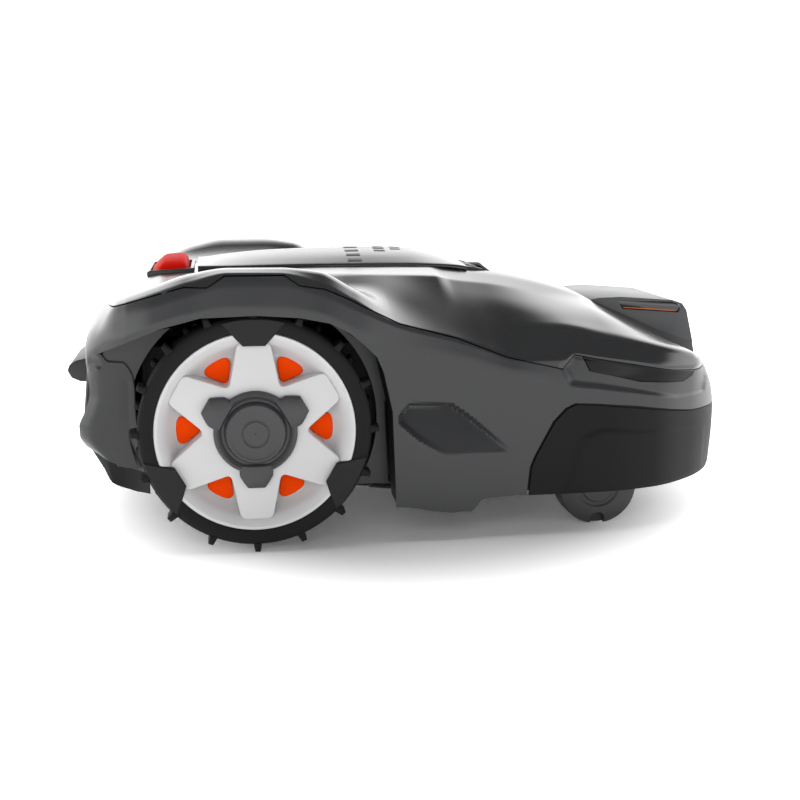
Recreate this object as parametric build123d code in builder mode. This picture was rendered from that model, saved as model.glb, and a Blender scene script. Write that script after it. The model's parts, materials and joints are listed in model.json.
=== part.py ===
"""Robotic lawn mower: floating cover over a sealed chassis, two driven wheels, two casters, a blade disc.

Frame: +X forward, +Y to the mower's left, +Z up, origin on the ground under the middle. Millimetres.
"""
from build123d import *
import os

os.makedirs("parts", exist_ok=True)

# ---------------------------------------------------------------- driving dimensions
WALL = 3.0                      # moulded shells
SIDES = {"right": -1, "left": 1}

# floating cover
COVER_HALF_WIDTH = 300.0        # prisms that cut the cover reach past it on both sides
FENDER_EDGE = 256.0             # the body shell keeps only the outer skin of the fender beyond this
MOUNT_SPOTS = [(-255, -95, 241), (-255, 95, 241), (90, -115, 228), (90, 115, 228)]
MOUNT_STUB_R = 6.0
MOUNT_R = 16.0

# drive wheels
AXLE_X = -172.0
AXLE_Z = 124.0
AXLE_R = 8.0
RIM_R = 100.0
TYRE_R = 116.0
LUG_R = 124.0
LUG_PAIRS = 16
WHEEL_FACE = 262.0              # outer face of rim lip and tyre wall
TYRE_INNER = 204.0
WEB_FRONT = 258.0
WEB_BACK = 240.0
POCKET_DEPTH = 10.0
SPOKES = 6
CAP_R = 41.5
CAP_DISC_R = 29.5
CLAMP_THICK = 3.0
CAP_LOBES = 3
CLAMPS = 3

# casters
CASTER_X = 196.5
CASTER_R = 43.0
CASTER_TRAIL = 8.0
CASTER_WIDTH = 34.0
CASTER_INNER = 173.0            # inner face of the caster wheel
SWIVEL_Y = 160.0
SWIVEL_R = 8.0
CASTER_AXLE_R = 6.0
SWIVEL_X = CASTER_X + CASTER_TRAIL
ARM_Y = (CASTER_INNER - 15, CASTER_INNER - 3)
RUNNING = 0.05                  # radial clearance of a turning fit

# chassis
TUB_BOTTOM = 45.0
TUB_TOP = 150.0
SHOULDER_BOTTOM = 97.0
SEAL_THICK = 1.5
LID_BOTTOM = TUB_TOP + SEAL_THICK
LID_TOP = 200.0
LID_FRONT_TOP = 166.0
TUB_HALF = 178.0
NOSE_HALF = 85.0
NOSE_FRONT = 300.0
SHELF_FRONT = 262.0
DECK_REAR = -131.0               # the raised deck over the blades reaches from here
DECK_FRONT = 151.0              # to here

# cutting unit
CUT_X = 10.0
RECESS_R = 135.0
RECESS_TOP = 85.0
DISC_R = 110.0
DISC_Z = 27.0
DISC_THICK = 3.0
MOTOR_R = 42.0
CARRIAGE_R = 48.0
FLANGE_Z = 140.0
FLANGE_THICK = 6.0
FLANGE_R = 78.0
GUIDE_Y = 64.0
BLADE_PIVOT_R = 92.0
BLADE_PIN_R = 3.0
BLADES = 3
GUIDES = [(CUT_X - GUIDE_Y, 0), (CUT_X + GUIDE_Y, 0)]
SCREW = (CUT_X, GUIDE_Y)
GUIDE_R = 5.0
SCREW_R = 6.0
MOTOR_BOTTOM = 62.0

# hatch, stop button and sensor tower
HATCH_HALF = 70.0
HATCH_REAR = -227.0
HATCH_FRONT = 76.0
HINGE_X = 82.0
HINGE_Z = 260.0
HINGE_PIN_R = 2.5
SPRING_COIL_R = 8.0
SPRING_WIRE_R = 0.6
TOWER_HALF = 75.0
VISOR_Z = (219.0, 228.0)
LIGHT_Z = (216.0, 219.0)
BAND_BACK = 240.0
BAND_DEPTH = 3.0
BAND_FRONT = 329.0

# ---------------------------------------------------------------- lines of the cover
# Each station is one cross-section of the cover's right half, from the centre line outwards and down:
# centre, hatch edge, hood crest, fender foot, fender crest, seam, lip, upper side, lower side, skirt.
STATIONS = {
    -350: [(0, 212), (70, 212), (115, 211), (150, 208), (170, 203), (182, 192), (188, 175), (190, 150),
           (190, 118), (180, 98)],
    -335: [(0, 238), (70, 238), (115, 237), (155, 234), (182, 228), (198, 216), (204, 200), (200, 160),
           (203, 112), (192, 84)],
    -312: [(0, 257), (70, 257), (115, 256), (160, 253), (198, 250), (222, 244), (226, 206), (203, 180),
           (202, 110), (190, 77)],
    -270: [(0, 266), (70, 265), (120, 261), (170, 260), (214, 267), (246, 258), (254, 226), (232, 180),
           (228, 110), (215, 70)],
    -235: [(0, 270), (70, 267), (120, 260), (172, 263), (222, 281), (258, 269), (264, 236), (250, 180),
           (250, 110), (245, 60)],
    -195: [(0, 272), (70, 268), (120, 260), (177, 267), (229, 287), (264, 280), (269.5, 240), (252, 180),
           (252, 110), (250, 45)],
    -145: [(0, 274), (70, 270), (120, 262), (180, 267), (231, 287), (264, 279), (270, 239), (252, 180),
           (252, 110), (250, 40)],
    -105: [(0, 275), (70, 270.5), (120, 265), (182, 262), (230, 284), (262, 267), (268, 234), (254, 180),
           (252, 110), (250, 38)],
    -70: [(0, 275), (70, 271), (120, 266.5), (184, 257), (226, 265), (257, 250), (263, 213), (254, 170),
          (253, 110), (250, 36)],
    -30: [(0, 275), (70, 271), (120, 266), (175, 252), (215, 242), (252, 229), (254, 200), (254, 150),
          (252, 95), (250, 39)],
    30: [(0, 274), (70, 270.5), (120, 262), (170, 245), (212, 228), (248, 212), (252, 188), (250, 145),
         (250, 94), (249, 31)],
    48: [(0, 272.5), (70, 268.5), (119, 260), (169, 242.5), (210, 225), (247, 206), (251, 184), (249, 139),
         (249, 93), (248, 31)],
    62: [(0, 271), (70, 267), (118, 258), (168.5, 240.5), (209, 222.5), (246, 201), (250, 180), (249, 134),
         (248.5, 93), (247.5, 43.5)],
    95: [(0, 268), (70, 263), (116, 254), (167, 236), (206, 217), (244, 190), (248, 172), (248, 122),
         (247, 92), (246, 45.5)],
    150: [(0, 256), (68, 252), (112, 243), (165, 230), (212, 217), (239, 190), (243, 160), (244, 128),
          (243, 90), (243, 45)],
    200: [(0, 238), (72, 236), (100, 234), (160, 226), (224, 208), (238, 185), (240.5, 160), (241, 125),
          (240, 85), (239.5, 45)],
    250: [(0, 215), (75, 214), (106, 213), (165, 207), (222, 198), (231, 178), (232, 155), (229, 128),
          (228, 85), (227, 45)],
    300: [(0, 190), (75, 190), (143, 186), (170, 187), (199, 185), (203, 168), (200, 150), (196, 120),
          (195, 85), (193, 44.5)],
    335: [(0, 172), (60, 171), (100, 169), (125, 167), (143, 163), (153, 152), (157, 140), (158, 115),
          (157, 85), (153, 44.5)],
    360: [(0, 138), (50, 137), (75, 136), (90, 134), (99, 130), (106, 123), (110, 112), (111, 100),
          (109, 78), (103, 52)],
    374: [(0, 108), (20, 108), (30, 107), (37, 106), (42, 104), (46, 100), (48, 94), (48, 86),
          (46, 76), (41, 64)],
}
# how far each point of a section moves in to make the inside of the moulding
INSET = [(0, -WALL), (0, -WALL), (-1, -WALL), (0, -WALL), (-1, -WALL), (-WALL, -2.5), (-WALL, 0), (-WALL, 0),
         (-WALL, 0), (-WALL, -20)]
# the side-view line where the top cover meets the body shell, rear to front
SEAM = [(-400, 238), (-335, 238), (-311, 245), (-271, 258), (-238, 268), (-216, 268), (-199, 279),
        (-141, 279), (-127, 269), (-102, 265), (-77, 254), (-66, 248), (-26, 228), (33, 212), (86, 191),
        (145, 177), (158, 191), (181, 186.5), (223, 179), (270, 170), (313, 165), (400, 159)]
ARCH = [(-336, 0), (-336, 190), (-330, 196), (-262, 228), (-223, 239), (-170, 240), (-127, 238), (-98, 233),
        (-63, 209), (-50, 198), (-45, 188), (-34, 140), (-30, 53), (-28, 0)]
LENS = [(167, 189.2), (181, 186.5), (223, 179), (270, 170), (304, 166.1), (299, 160), (286, 155.5),
        (231, 161), (199, 168.5), (175, 173.5)]
BUMPER = [(109, 0), (109, 46), (112, 76), (117, 88), (136, 123), (149, 136), (159, 140.5), (183, 139),
          (225, 134.5), (259, 129), (299, 121.5), (343, 117.5), (400, 114), (400, 0)]
# hatch lid: position along X, height at the centre line, height at its edge
HATCH = [(-227, 277, 272.5), (-167, 285, 272), (-95, 287, 272.5), (-39, 289, 273), (9, 288, 272.5),
         (45, 282, 271), (76, 274, 269)]


def keep(part, label):
    """Name a finished piece and write it out."""
    part.label = label
    export_step(part, f"parts/{label}.step")


def mirrored_outline(half):
    """Close a right-half section into the full section."""
    other = [(-y, z) for y, z in reversed(half) if y > 0]
    return half + other


def hatch_section(centre, edge, inset, bottom):
    """Half section of the hatch lid, moved in by inset."""
    half = HATCH_HALF - inset
    return [(0, centre - inset), (0.62 * half, centre - 0.3 * (centre - edge) - inset),
            (half - 6, edge + 2.6 - inset), (half, edge - inset), (half, bottom)]


def wheel_plane(side, y):
    """Plane across a drive wheel's axle at distance y from the middle, facing outwards."""
    return Plane(origin=(AXLE_X, side * y, AXLE_Z), x_dir=(-side, 0, 0), z_dir=(0, side, 0))


# ---------------------------------------------------------------- envelopes that shape the cover
def bays(stations):
    """Pair each cross-section with the next."""
    stations = list(stations)
    return zip(stations, stations[1:])


def inside(x, half):
    """The inner face of the moulding at one station."""
    inner_x = min(max(x, min(STATIONS) + WALL), max(STATIONS) - WALL)
    return inner_x, [(max(y + dy, 0), z + dz) for (y, z), (dy, dz) in zip(half, INSET)]


with BuildPart() as envelope:
    for bay in bays(STATIONS.items()):
        for x, half in bay:
            with BuildSketch(Plane.YZ.offset(x)):
                Polygon(*mirrored_outline(half), align=None)
        loft(ruled=True)

with BuildPart() as hollow:
    for bay in bays(inside(x, half) for x, half in STATIONS.items()):
        for x, half in bay:
            with BuildSketch(Plane.YZ.offset(x)):
                Polygon(*mirrored_outline(half), align=None)
        loft(ruled=True)

with BuildPart() as shell:
    add(envelope.part)
    add(hollow.part, mode=Mode.SUBTRACT)

with BuildPart() as below_seam:
    with BuildSketch(Plane.XZ):
        Polygon(*SEAM, (400, 0), (-400, 0), align=None)
    extrude(amount=COVER_HALF_WIDTH, both=True)
    with Locations((-86, 0, 260)):
        Box(420, 2 * 206, 150, mode=Mode.SUBTRACT)
    with Locations((-170, 0, 260)):
        Box(180, 2 * FENDER_EDGE, 150, mode=Mode.SUBTRACT)

with BuildPart() as bumper_zone:
    with BuildSketch(Plane.XZ):
        Polygon(*BUMPER, align=None)
    extrude(amount=COVER_HALF_WIDTH, both=True)

with BuildPart() as arch_zone:
    for side in SIDES.values():
        with BuildSketch(Plane.XZ.offset(-side * 204.5)):
            Polygon(*ARCH, align=None)
        extrude(amount=-side * 100)

with BuildPart() as lens_zone:
    for side in SIDES.values():
        with BuildSketch(Plane.XZ.offset(-side * 150)):
            Polygon(*LENS, align=None)
        extrude(amount=-side * 120)

# ---------------------------------------------------------------- cover pieces
with BuildPart() as mount_bosses:
    for x, y, z in MOUNT_SPOTS:
        with BuildSketch(Plane.XY.offset(z + 0.5)):
            with Locations((x, y)):
                Circle(MOUNT_STUB_R + 4)
                Circle(MOUNT_STUB_R + 0.5, mode=Mode.SUBTRACT)
        extrude(amount=60)
    add(envelope.part, mode=Mode.INTERSECT)

with BuildPart() as top_cover:
    add(shell.part)
    for zone in (below_seam, bumper_zone, lens_zone, arch_zone):
        add(zone.part, mode=Mode.SUBTRACT)
    with Locations((-75, 0, 262)):
        Box(250, 2 * 57, 60, mode=Mode.SUBTRACT)
    with Locations((HINGE_X + 3, 0, 262)):
        Box(38, 2 * 64, 60, mode=Mode.SUBTRACT)
    with Locations((-257, 0, 262)):
        Box(52, 2 * 63, 60, mode=Mode.SUBTRACT)
    add(mount_bosses.part)
keep(top_cover.part, "top_cover")

with BuildPart() as body_shell:
    add(shell.part)
    add(below_seam.part, mode=Mode.INTERSECT)
    for zone in (bumper_zone, lens_zone, arch_zone):
        add(zone.part, mode=Mode.SUBTRACT)
    with Locations((-350, 0, 149)):
        Box(40, 2 * 72, 62, mode=Mode.SUBTRACT)
keep(body_shell.part, "body_shell")

with BuildPart() as front_bumper:
    add(shell.part)
    add(bumper_zone.part, mode=Mode.INTERSECT)
keep(front_bumper.part, "front_bumper")

with BuildPart() as headlights:
    add(shell.part)
    add(lens_zone.part, mode=Mode.INTERSECT)
keep(headlights.part, "headlights")

with BuildPart() as tower_block:
    with BuildSketch(Plane.XZ):
        Polygon((216, 180), (216, 233), (236, 235.5), (258, 236), (320, 231), (332, 225), (336, 216),
                (347, 168), (347, 150), (300, 150), align=None)
    extrude(amount=TOWER_HALF, both=True)
    add(envelope.part, mode=Mode.SUBTRACT)
    with Locations((287, 0, 185)):
        Box(92, 2 * (TOWER_HALF - 8), 50, mode=Mode.SUBTRACT)

with BuildPart() as tower_band:
    with BuildSketch(Plane.XY.offset(LIGHT_Z[0])):
        with Locations(((BAND_BACK + 400) / 2, 0)):
            Rectangle(400 - BAND_BACK, 2 * TOWER_HALF)
        with Locations(((BAND_BACK + BAND_FRONT) / 2, 0)):
            Rectangle(BAND_FRONT - BAND_BACK, 2 * (TOWER_HALF - BAND_DEPTH), mode=Mode.SUBTRACT)
    extrude(amount=VISOR_Z[1] - LIGHT_Z[0])

with BuildPart() as sensor_tower:
    add(tower_block.part)
    add(tower_band.part, mode=Mode.SUBTRACT)
keep(sensor_tower.part, "sensor_tower")

for label, band in (("sensor_visor", VISOR_Z), ("status_light", LIGHT_Z)):
    with BuildPart() as strip:
        add(tower_block.part)
        add(tower_band.part, mode=Mode.INTERSECT)
        with Locations((290, 0, sum(band) / 2)):
            Box(200, 400, band[1] - band[0], mode=Mode.INTERSECT)
    keep(strip.part, label)

with BuildPart() as stop_plate:
    with BuildSketch(Plane.XZ):
        Polygon((-283, 248), (-283, 267), (-279, 270), (-231, 273), (-231, 248), align=None)
    extrude(amount=63, both=True)
    with Locations((-257.5, 0, 281)):
        Box(44, 2 * 60, 60, mode=Mode.SUBTRACT)
keep(stop_plate.part, "stop_plate")

with BuildPart() as stop_button:
    with BuildSketch(Plane.XZ):
        Polygon((-279, 258), (-279, 267), (-265, 284), (-241, 284), (-236, 268), (-236, 258), align=None)
    extrude(amount=59.5, both=True)
    with BuildSketch(Plane.YZ.offset(-290)):
        Polygon((-60, 250), (-60, 275), (-30, 281.5), (0, 283), (30, 281.5), (60, 275), (60, 250), align=None)
    extrude(amount=70, mode=Mode.INTERSECT)
keep(stop_button.part, "stop_button")

with BuildPart() as stop_spring:
    with BuildLine(Plane(origin=(-257.5, 0, 251 + SPRING_WIRE_R))) as coil:
        Helix(pitch=1.9, height=7 - 2 * SPRING_WIRE_R - 0.1, radius=SPRING_COIL_R)
    with BuildSketch(Plane(origin=coil.edge() @ 0, z_dir=coil.edge() % 0)):
        Circle(SPRING_WIRE_R)
    sweep(is_frenet=True)
keep(stop_spring.part, "stop_spring")

with BuildPart() as hinge_cover:
    with Locations((HINGE_X + 3, 0, 256.5)):
        Box(37, 2 * 63.5, 13)
    with Locations((HINGE_X + 1, 37.5, 256.5), (HINGE_X + 1, -37.5, 256.5)):
        Box(29, 19, 13, mode=Mode.SUBTRACT)
    with BuildSketch(Plane.XZ):
        with Locations((HINGE_X, HINGE_Z)):
            Circle(HINGE_PIN_R)
    extrude(amount=58, both=True, mode=Mode.SUBTRACT)
keep(hinge_cover.part, "hinge_cover")

with BuildPart() as hatch_pin:
    with BuildSketch(Plane.XZ):
        with Locations((HINGE_X, HINGE_Z)):
            Circle(HINGE_PIN_R)
    extrude(amount=58, both=True)
keep(hatch_pin.part, "hatch_pin")

with BuildPart() as hatch_blank:
    for bay in bays(HATCH):
        for x, centre, edge in bay:
            with BuildSketch(Plane.YZ.offset(x)):
                Polygon(*mirrored_outline(hatch_section(centre, edge, 0, 250)), align=None)
        loft(ruled=True)
    add(envelope.part.moved(Location((0, 0, 0.5))), mode=Mode.SUBTRACT)

with BuildPart() as hatch_core:
    for bay in bays(HATCH):
        for x, centre, edge in bay:
            with BuildSketch(Plane.YZ.offset(min(max(x, HATCH_REAR + WALL), HATCH_FRONT - WALL))):
                Polygon(*mirrored_outline(hatch_section(centre, edge, WALL, 240)), align=None)
        loft(ruled=True)

with BuildPart() as hatch_lid:
    add(hatch_blank.part)
    add(hatch_core.part, mode=Mode.SUBTRACT)
    for y in (-37.5, 37.5):
        with BuildSketch(Plane.XZ.offset(-y)):
            with Locations((HINGE_X, HINGE_Z)):
                Circle(5)
            Polygon((HINGE_X, HINGE_Z - 5), (HINGE_X, HINGE_Z + 5), (HINGE_X - 8, HINGE_Z + 12),
                    (HINGE_X - 12, HINGE_Z + 12), (HINGE_X - 12, HINGE_Z + 4), align=None)
            with Locations((HINGE_X, HINGE_Z)):
                Circle(HINGE_PIN_R + RUNNING, mode=Mode.SUBTRACT)
        extrude(amount=8, both=True)
keep(hatch_lid.part, "hatch_lid")

# ---------------------------------------------------------------- cover mounts and their posts
with BuildPart() as cover_mounts:
    for x, y, z in MOUNT_SPOTS:
        with BuildSketch(Plane.XY.offset(LID_TOP + 1)):
            with Locations((x, y)):
                Circle(MOUNT_R)
                Circle(MOUNT_R - 2.5, mode=Mode.SUBTRACT)
        extrude(amount=z - LID_TOP - 1)
        with BuildSketch(Plane.XY.offset(z - 3)):
            with Locations((x, y)):
                Circle(MOUNT_R)
        extrude(amount=3)
        with BuildSketch(Plane.XY.offset(z)):
            with Locations((x, y)):
                Circle(MOUNT_STUB_R)
        extrude(amount=9)
keep(cover_mounts.part, "cover_mounts")

with BuildPart() as mount_posts:
    for x, y, z in MOUNT_SPOTS:
        with BuildSketch(Plane.XY.offset(LID_TOP)):
            with Locations((x, y)):
                Circle(5)
        extrude(amount=z - LID_TOP - 5)
keep(mount_posts.part, "mount_posts")

# ---------------------------------------------------------------- chassis
TUB = [(-303, -150), (-285, -TUB_HALF), (DECK_FRONT, -TUB_HALF), (DECK_FRONT, TUB_HALF), (-285, TUB_HALF),
       (-303, 150)]
TUB_REAR = [(-303, -150), (-285, -TUB_HALF), (DECK_REAR, -TUB_HALF), (DECK_REAR, TUB_HALF), (-285, TUB_HALF),
            (-303, 150)]
TUB_WELL = [(-262, -TUB_HALF), (DECK_REAR, -TUB_HALF), (DECK_REAR, TUB_HALF), (-262, TUB_HALF)]
REAR_BOTTOM = 82.0                 # the tub is shallower behind the battery


def nose(half_y, front):
    """Rectangle from inside the deck forwards."""
    with Locations(((DECK_FRONT - 10 + front) / 2, 0)):
        Rectangle(front - DECK_FRONT + 10, 2 * half_y)


def chassis_plan(inset):
    """Plan of the chassis above the shoulders, moved in by inset."""
    Polygon(*TUB, align=None)
    nose(185, SHELF_FRONT)
    nose(NOSE_HALF, NOSE_FRONT)
    if inset:
        offset(amount=-inset)


def tray(x_low, x_high, y_low, y_high, bottom):
    """Rectangular tray with walls, open at the top of the tub."""
    x, y = (x_low + x_high) / 2, (y_low + y_high) / 2
    with Locations((x, y, (bottom + TUB_TOP) / 2)):
        Box(x_high - x_low, y_high - y_low, TUB_TOP - bottom)
    with Locations((x, y, (bottom + WALL + TUB_TOP) / 2)):
        Box(x_high - x_low - 2 * WALL, y_high - y_low - 2 * WALL, TUB_TOP - bottom - WALL, mode=Mode.SUBTRACT)


with BuildPart() as axle_bore:
    with BuildSketch(Plane.XZ):
        with Locations((AXLE_X, AXLE_Z)):
            Circle(AXLE_R + 4)
    extrude(amount=TUB_HALF + 5, both=True)

with BuildPart() as chassis_base:
    for outline, bottom in ((TUB_REAR, REAR_BOTTOM), (TUB_WELL, TUB_BOTTOM)):
        with BuildSketch(Plane.XY.offset(bottom)):
            Polygon(*outline, align=None)
        extrude(amount=TUB_TOP - bottom)
    for outline, bottom in ((TUB_REAR, REAR_BOTTOM), (TUB_WELL, TUB_BOTTOM)):
        with BuildSketch(Plane.XY.offset(bottom + WALL)):
            Polygon(*outline, align=None)
            offset(amount=-WALL)
        extrude(amount=TUB_TOP - bottom, mode=Mode.SUBTRACT)
    add(axle_bore.part, mode=Mode.SUBTRACT)
keep(chassis_base.part, "chassis_base")

with BuildPart() as blade_deck:
    tray(DECK_REAR, DECK_FRONT, -TUB_HALF, TUB_HALF, RECESS_TOP)
    with BuildSketch(Plane.XY.offset(RECESS_TOP)):
        with Locations((CUT_X, 0)):
            Circle(CARRIAGE_R + 2)
    extrude(amount=WALL, mode=Mode.SUBTRACT)
keep(blade_deck.part, "blade_deck")

with BuildPart() as blade_housing:
    with BuildSketch(Plane.XY.offset(TUB_BOTTOM)):
        with Locations((CUT_X, 0)):
            Circle(RECESS_R + WALL)
            Circle(RECESS_R, mode=Mode.SUBTRACT)
    extrude(amount=RECESS_TOP - TUB_BOTTOM)
keep(blade_housing.part, "blade_housing")

with BuildPart() as nose_tray:
    tray(DECK_FRONT, NOSE_FRONT, -NOSE_HALF, NOSE_HALF, TUB_BOTTOM)
front_trays = [nose_tray.part]
for side in SIDES.values():
    with BuildPart() as caster_shelf:
        tray(DECK_FRONT, SHELF_FRONT, *sorted((side * NOSE_HALF, side * 185)), SHOULDER_BOTTOM)
        with BuildSketch(Plane.XY.offset(SHOULDER_BOTTOM)):
            with Locations((SWIVEL_X, side * SWIVEL_Y)):
                Circle(16)
        extrude(amount=TUB_TOP - SHOULDER_BOTTOM - 5)
        with BuildSketch(Plane.XY.offset(SHOULDER_BOTTOM)):
            with Locations((SWIVEL_X, side * SWIVEL_Y)):
                Circle(12)
        extrude(amount=TUB_TOP - SHOULDER_BOTTOM, mode=Mode.SUBTRACT)
    front_trays.append(caster_shelf.part)
keep(Compound([tray_part.solid() for tray_part in front_trays]), "chassis_front")

with BuildPart() as chassis_seal:
    with BuildSketch(Plane.XY.offset(TUB_TOP)) as rim:
        chassis_plan(0)
    with BuildSketch(Plane.XY.offset(TUB_TOP), mode=Mode.PRIVATE) as rim_inside:
        chassis_plan(WALL)
    extrude(rim.sketch, amount=SEAL_THICK)
    extrude(rim_inside.sketch, amount=SEAL_THICK, mode=Mode.SUBTRACT)
keep(chassis_seal.part, "chassis_seal")

with BuildPart() as chassis_lid:
    with BuildSketch(Plane.XY.offset(LID_BOTTOM)):
        chassis_plan(0)
    extrude(amount=LID_FRONT_TOP - LID_BOTTOM)
    with BuildSketch(Plane.XY.offset(LID_BOTTOM)):
        Polygon(*TUB, align=None)
    extrude(amount=LID_TOP - LID_BOTTOM)
    with BuildSketch(Plane.XY.offset(LID_BOTTOM)):
        chassis_plan(WALL)
    extrude(amount=LID_FRONT_TOP - LID_BOTTOM - WALL, mode=Mode.SUBTRACT)
    with BuildSketch(Plane.XY.offset(LID_BOTTOM)):
        Polygon(*TUB, align=None)
        offset(amount=-WALL)
    extrude(amount=LID_TOP - LID_BOTTOM - WALL, mode=Mode.SUBTRACT)
keep(chassis_lid.part, "chassis_lid")

with BuildPart() as chassis_screws:
    for x, y in ((-240, 170), (-60, 170), (60, 170), (240, 177), (270, 70)):
        for s in SIDES.values():
            with BuildSketch(Plane.XY.offset(TUB_TOP - 12)):
                with Locations((x, s * (y - 9))):
                    Circle(2)
            extrude(amount=LID_FRONT_TOP - WALL - TUB_TOP + 12)
keep(chassis_screws.part, "chassis_screws")

with BuildPart() as caster_bushes:
    with BuildSketch(Plane.XY.offset(SHOULDER_BOTTOM)):
        with Locations((SWIVEL_X, SWIVEL_Y), (SWIVEL_X, -SWIVEL_Y)):
            Circle(12)
            Circle(SWIVEL_R + RUNNING, mode=Mode.SUBTRACT)
    extrude(amount=TUB_TOP - SHOULDER_BOTTOM - 5)
keep(caster_bushes.part, "caster_bushes")

with BuildPart() as battery_pack:
    with Locations((-195, 0, 48 + 32)):
        Box(110, 170, 64)
    fillet(battery_pack.edges().filter_by(Axis.Z), 8)
keep(battery_pack.part, "battery_pack")

with BuildPart() as main_board:
    with Locations((-195, 0, 113)):
        Box(116, 150, 2)
    with Locations((-225, 30, 118), (-190, -35, 118), (-160, 25, 118)):
        Box(22, 22, 8)
keep(main_board.part, "main_board")

with BuildPart() as charge_contacts:
    with Locations((301, 25, 80), (301, -25, 80)):
        Box(2, 14, 30)
keep(charge_contacts.part, "charge_contacts")

with BuildPart() as control_panel:
    with Locations((-70, 0, (LID_TOP + 252) / 2)):
        Box(140, 90, 252 - LID_TOP)
    fillet(control_panel.edges().filter_by(Axis.Z), 10)
    fillet(control_panel.faces().sort_by(Axis.Z)[-1].edges(), 3)
    with Locations((-70, 0, LID_TOP + 23)):
        Box(132, 82, 46, mode=Mode.SUBTRACT)
    with BuildSketch(Plane.XY.offset(240)):
        with Locations((-50, 0)):
            Circle(6 + RUNNING)
        with Locations((-105, 0)):
            Circle(8 + 0.3)
    extrude(amount=20, mode=Mode.SUBTRACT)
keep(control_panel.part, "control_panel")

with BuildPart() as jog_knob:
    with BuildSketch(Plane.XY.offset(252.4)):
        with Locations((-50, 0)):
            Circle(20)
    extrude(amount=11)
    fillet(jog_knob.edges().sort_by(Axis.Z)[-1], 2.5)
    with BuildSketch(Plane.XY.offset(244)):
        with Locations((-50, 0)):
            Circle(6)
    extrude(amount=9)
keep(jog_knob.part, "jog_knob")

with BuildPart() as power_button:
    with BuildSketch(Plane.XY.offset(247)):
        with Locations((-105, 0)):
            Circle(8)
    extrude(amount=8)
    fillet(power_button.edges().sort_by(Axis.Z)[-1], 1)
keep(power_button.part, "power_button")

with BuildPart() as carry_handle:
    with BuildSketch(Plane.XZ):
        Polygon((-303, 144), (-303, 175), (-362, 171), (-372, 165), (-374, 159), (-370, 150), (-360, 145),
                align=None)
    extrude(amount=62, both=True)
    with Locations((-325, 0, 159)):
        Box(38, 96, 60, mode=Mode.SUBTRACT)
keep(carry_handle.part, "carry_handle")

with BuildPart() as drive_motors:
    for side in SIDES.values():
        with BuildSketch(wheel_plane(side, 100)):
            Circle(32)
        extrude(amount=TUB_HALF - WALL - 100)
        with BuildSketch(wheel_plane(side, 148)):
            Circle(AXLE_R + RUNNING)
        extrude(amount=40, mode=Mode.SUBTRACT)
keep(drive_motors.part, "drive_motors")

# ---------------------------------------------------------------- drive wheels
RIM_PROFILE = [(AXLE_R, 185), (22, 185), (22, WEB_BACK), (RIM_R - 6, WEB_BACK), (RIM_R - 4, TYRE_INNER + 2),
               (RIM_R, TYRE_INNER + 2), (RIM_R, WHEEL_FACE), (RIM_R - 5, WHEEL_FACE), (RIM_R - 11, WEB_FRONT),
               (AXLE_R, WEB_FRONT)]
TYRE_PROFILE = [(RIM_R, TYRE_INNER), (TYRE_R - 5, TYRE_INNER), (TYRE_R, TYRE_INNER + 6), (TYRE_R, WHEEL_FACE - 5),
                (TYRE_R - 4, WHEEL_FACE), (RIM_R, WHEEL_FACE)]
POCKET = [(44, -9), (44, 9), (88, 25), (92, 12), (93, 0), (92, -12), (88, -25)]
INSERT = [(54, -2.5), (54, 2.5), (75, 13), (77, 10), (77, -10), (75, -13)]
CLAMP = [(-11, 84.5), (11, 84.5), (22, 96), (31, 107), (-31, 107), (-22, 96)]


def wheel_profile(points, side):
    """Turn (radius, distance from the middle) points into a section through the axle."""
    return [(side * y, AXLE_Z + r) for r, y in points]


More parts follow.
